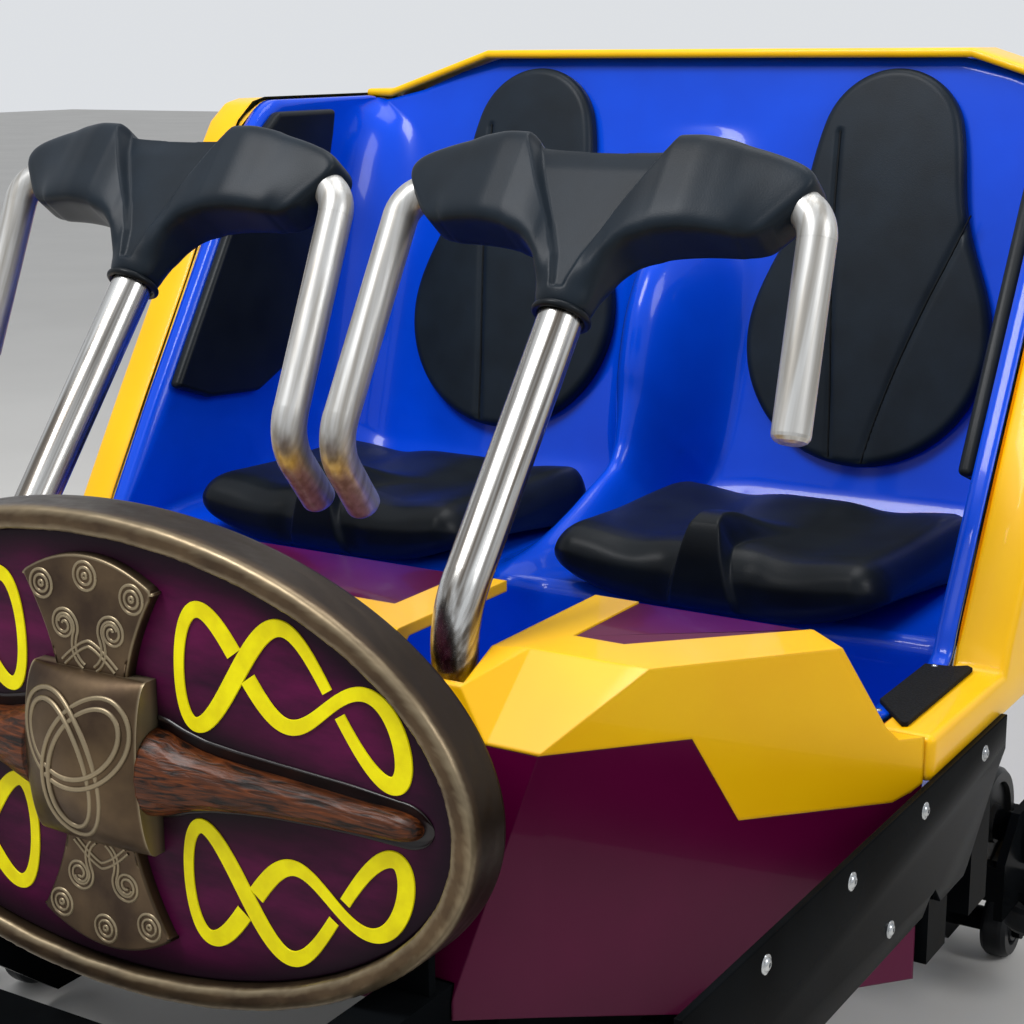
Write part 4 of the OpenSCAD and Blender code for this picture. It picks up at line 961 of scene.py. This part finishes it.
def knot(name, mirror):
    """A flat band 17 mm wide, 1.5 mm proud; it stops where a higher strand runs within 12 mm."""
    line, level = knot_line()
    n = len(line)
    gap = np.abs(np.arange(n)[:, None] - np.arange(n)[None, :])
    far = np.minimum(gap, n - gap) > 40
    near = np.linalg.norm(line[:, None] - line[None], axis=2) < 12
    under = (near & far & (level[None, :] > level[:, None])).any(1)
    line = line * mirror
    normal = line_normals(np.concatenate([line[-1:], line, line[:1]]))[1:-1]
    half = 17 / 2 * (1 + 0.22 * np.cos(3 * np.arange(n) * math.tau / n))[:, None]
    sides = np.stack([line + normal * half * across for across in (-1, -0.93, 0.93, 1)], 1)
    proud = np.array([0.35, 1.5, 1.5, 0.35])[None, :]
    points = on_board(sides[..., 0], sides[..., 1], proud).reshape(-1, 3)
    keep = np.arange(n)[~(under | np.roll(under, -1))] * 4
    after = (keep + 4) % (4 * n)
    faces = np.concatenate([np.stack([keep + j, after + j, after + j + 1, keep + j + 1], -1)
                            for j in range(3)]).tolist()
    return dress(name, points, faces, knot_paint, "car", sharp=20)


for sx, name in SIDES:
    for sz, level in LEVELS:
        piece = knot(f"knot_{name}_{level}", (sx, sz))
print("knot faces", len(piece.data.polygons))

# %% [markdown]
# ## Screws
# Button-head screws hold the side plates and the step pads. One head is a short profile turned
# round its axis, and it is repeated at every place by adding the places to its points.

# %% Screws
def screws(name, places, axis, radius):
    """Profile: washer, then a dome of height r/2 with a socket; turned by 20 steps round the axis."""
    profile = np.array([[0, 0.22], [0.28, 0.22], [0.32, 0.52], [0.62, 0.50], [0.86, 0.34], [0.95, 0.16],
                        [1.0, 0.14], [1.32, 0.12], [1.36, 0.0], [1.30, -0.02]]) * radius
    a = np.arange(20)[:, None] * math.tau / 20
    ring = np.stack([profile[:, 0] * np.cos(a), profile[:, 0] * np.sin(a), profile[:, 1] + 0 * a], -1)
    one = ring.reshape(-1, 3) @ np.stack(square_to(axis))
    points = (np.asarray(places, float)[:, None, :] + one[None]).reshape(-1, 3) / 1000
    n = len(profile)
    row, col = np.arange(20)[:, None], np.arange(n - 1)[None, :]
    here, after = row * n + col, (row + 1) % 20 * n + col
    quads = np.stack([here, after, after + 1, here + 1], -1).reshape(-1, 4)
    faces = (quads[None] + np.arange(len(places))[:, None, None] * 20 * n).reshape(-1, 4)
    return dress(name, points, faces.tolist(), zinc_bolt, "car", sharp=40)


for side, name in SIDES:
    plate = [(side * 740, y, z) for y, z in ((-187, 548), (-380, 548), (-581, 548), (-778, 548),
                                             (-470, 452), (-840, 452))]
    screws("plate_screws_" + name, plate, (side, 0, 0), 7)
    screws("step_screws_" + name, [(side * 655, -300, 618.4), (side * 655, -122, 618.4)], (0, 0, 1), 3)
print("screws placed")

# %% [markdown]
# ## Studio
# A wide pale floor under a bright overcast world, and three soft lamps.

# %% Floor, lamps and camera
def backdrop():
    """A flat floor 60 m square, with its top at z = 0."""
    mesh = bpy.data.meshes.new("floor")
    corners = [(-30, -30, 0), (30, -30, 0), (30, 30, 0), (-30, 30, 0)]
    mesh.from_pydata(corners, [], [(0, 1, 2, 3)])
    floor = in_scene("floor", mesh)
    mat, tree, shader, place = start_material("pale floor", Roughness=0.75)
    mottle(tree, shader, place, 900, "#D9D7D3", "#DFDDD9")
    floor.data.materials.append(mat)


def lamp(name, place, target, size, power):
    data = bpy.data.lights.new(name, "AREA")
    data.shape, data.size, data.size_y = "RECTANGLE", size[0], size[1]
    data.energy = power
    light = in_scene(name, data)
    light.location = place
    light.rotation_euler = (Vector(target) - Vector(place)).to_track_quat("-Z", "Y").to_euler()


backdrop()
lamp("key", (-1.0, -2.2, 4.4), (0, 0, 0.7), (1.5, 1.5), 135)
lamp("fill", (3.4, -0.4, 3.0), (0, 0, 0.7), (1.2, 1.6), 42)
lamp("top", (0.2, 0.8, 4.4), (0, 0, 0.6), (2.0, 2.0), 52)
world = bpy.data.worlds.new("overcast")
bpy.context.scene.world = world
world.use_nodes = True
tree = world.node_tree
# the sky is seen and mirrored at 0.85, and lights matt surfaces at 0.55
rays = add_node(tree, "ShaderNodeLightPath").outputs
seen = rays["Is Camera Ray"]
for kind in ("Is Glossy Ray", "Is Transmission Ray"):
    seen = add_node(tree, "ShaderNodeMath", links={0: seen, 1: rays[kind]}, operation="MAXIMUM").outputs[0]
level = add_node(tree, "ShaderNodeMapRange", {"To Min": 0.55, "To Max": 0.85}, {"Value": seen})
shade = tree.nodes["Background"]
shade.inputs["Color"].default_value = linear("#EEF1F5")
tree.links.new(level.outputs["Result"], shade.inputs["Strength"])

# %% Camera at the photograph's place
camera_data = bpy.data.cameras.new("camera")
camera = in_scene("camera", camera_data)
bpy.context.scene.camera = camera
# its columns are right, up, backwards and the place
camera.matrix_world = Matrix(((0.851675, -0.118456, 0.510507, 1.3525),
                              (0.524028, 0.204754, -0.826722, -2.1829),
                              (-0.006598, 0.971619, 0.236458, 1.3213), (0, 0, 0, 1)))
camera_data.sensor_fit, camera_data.sensor_width = "HORIZONTAL", 36.0
camera_data.lens = 67.379
camera_data.clip_end = 60
bpy.context.scene.view_settings.view_transform = "Standard"
print("camera at", tuple(round(v, 3) for v in camera.location))
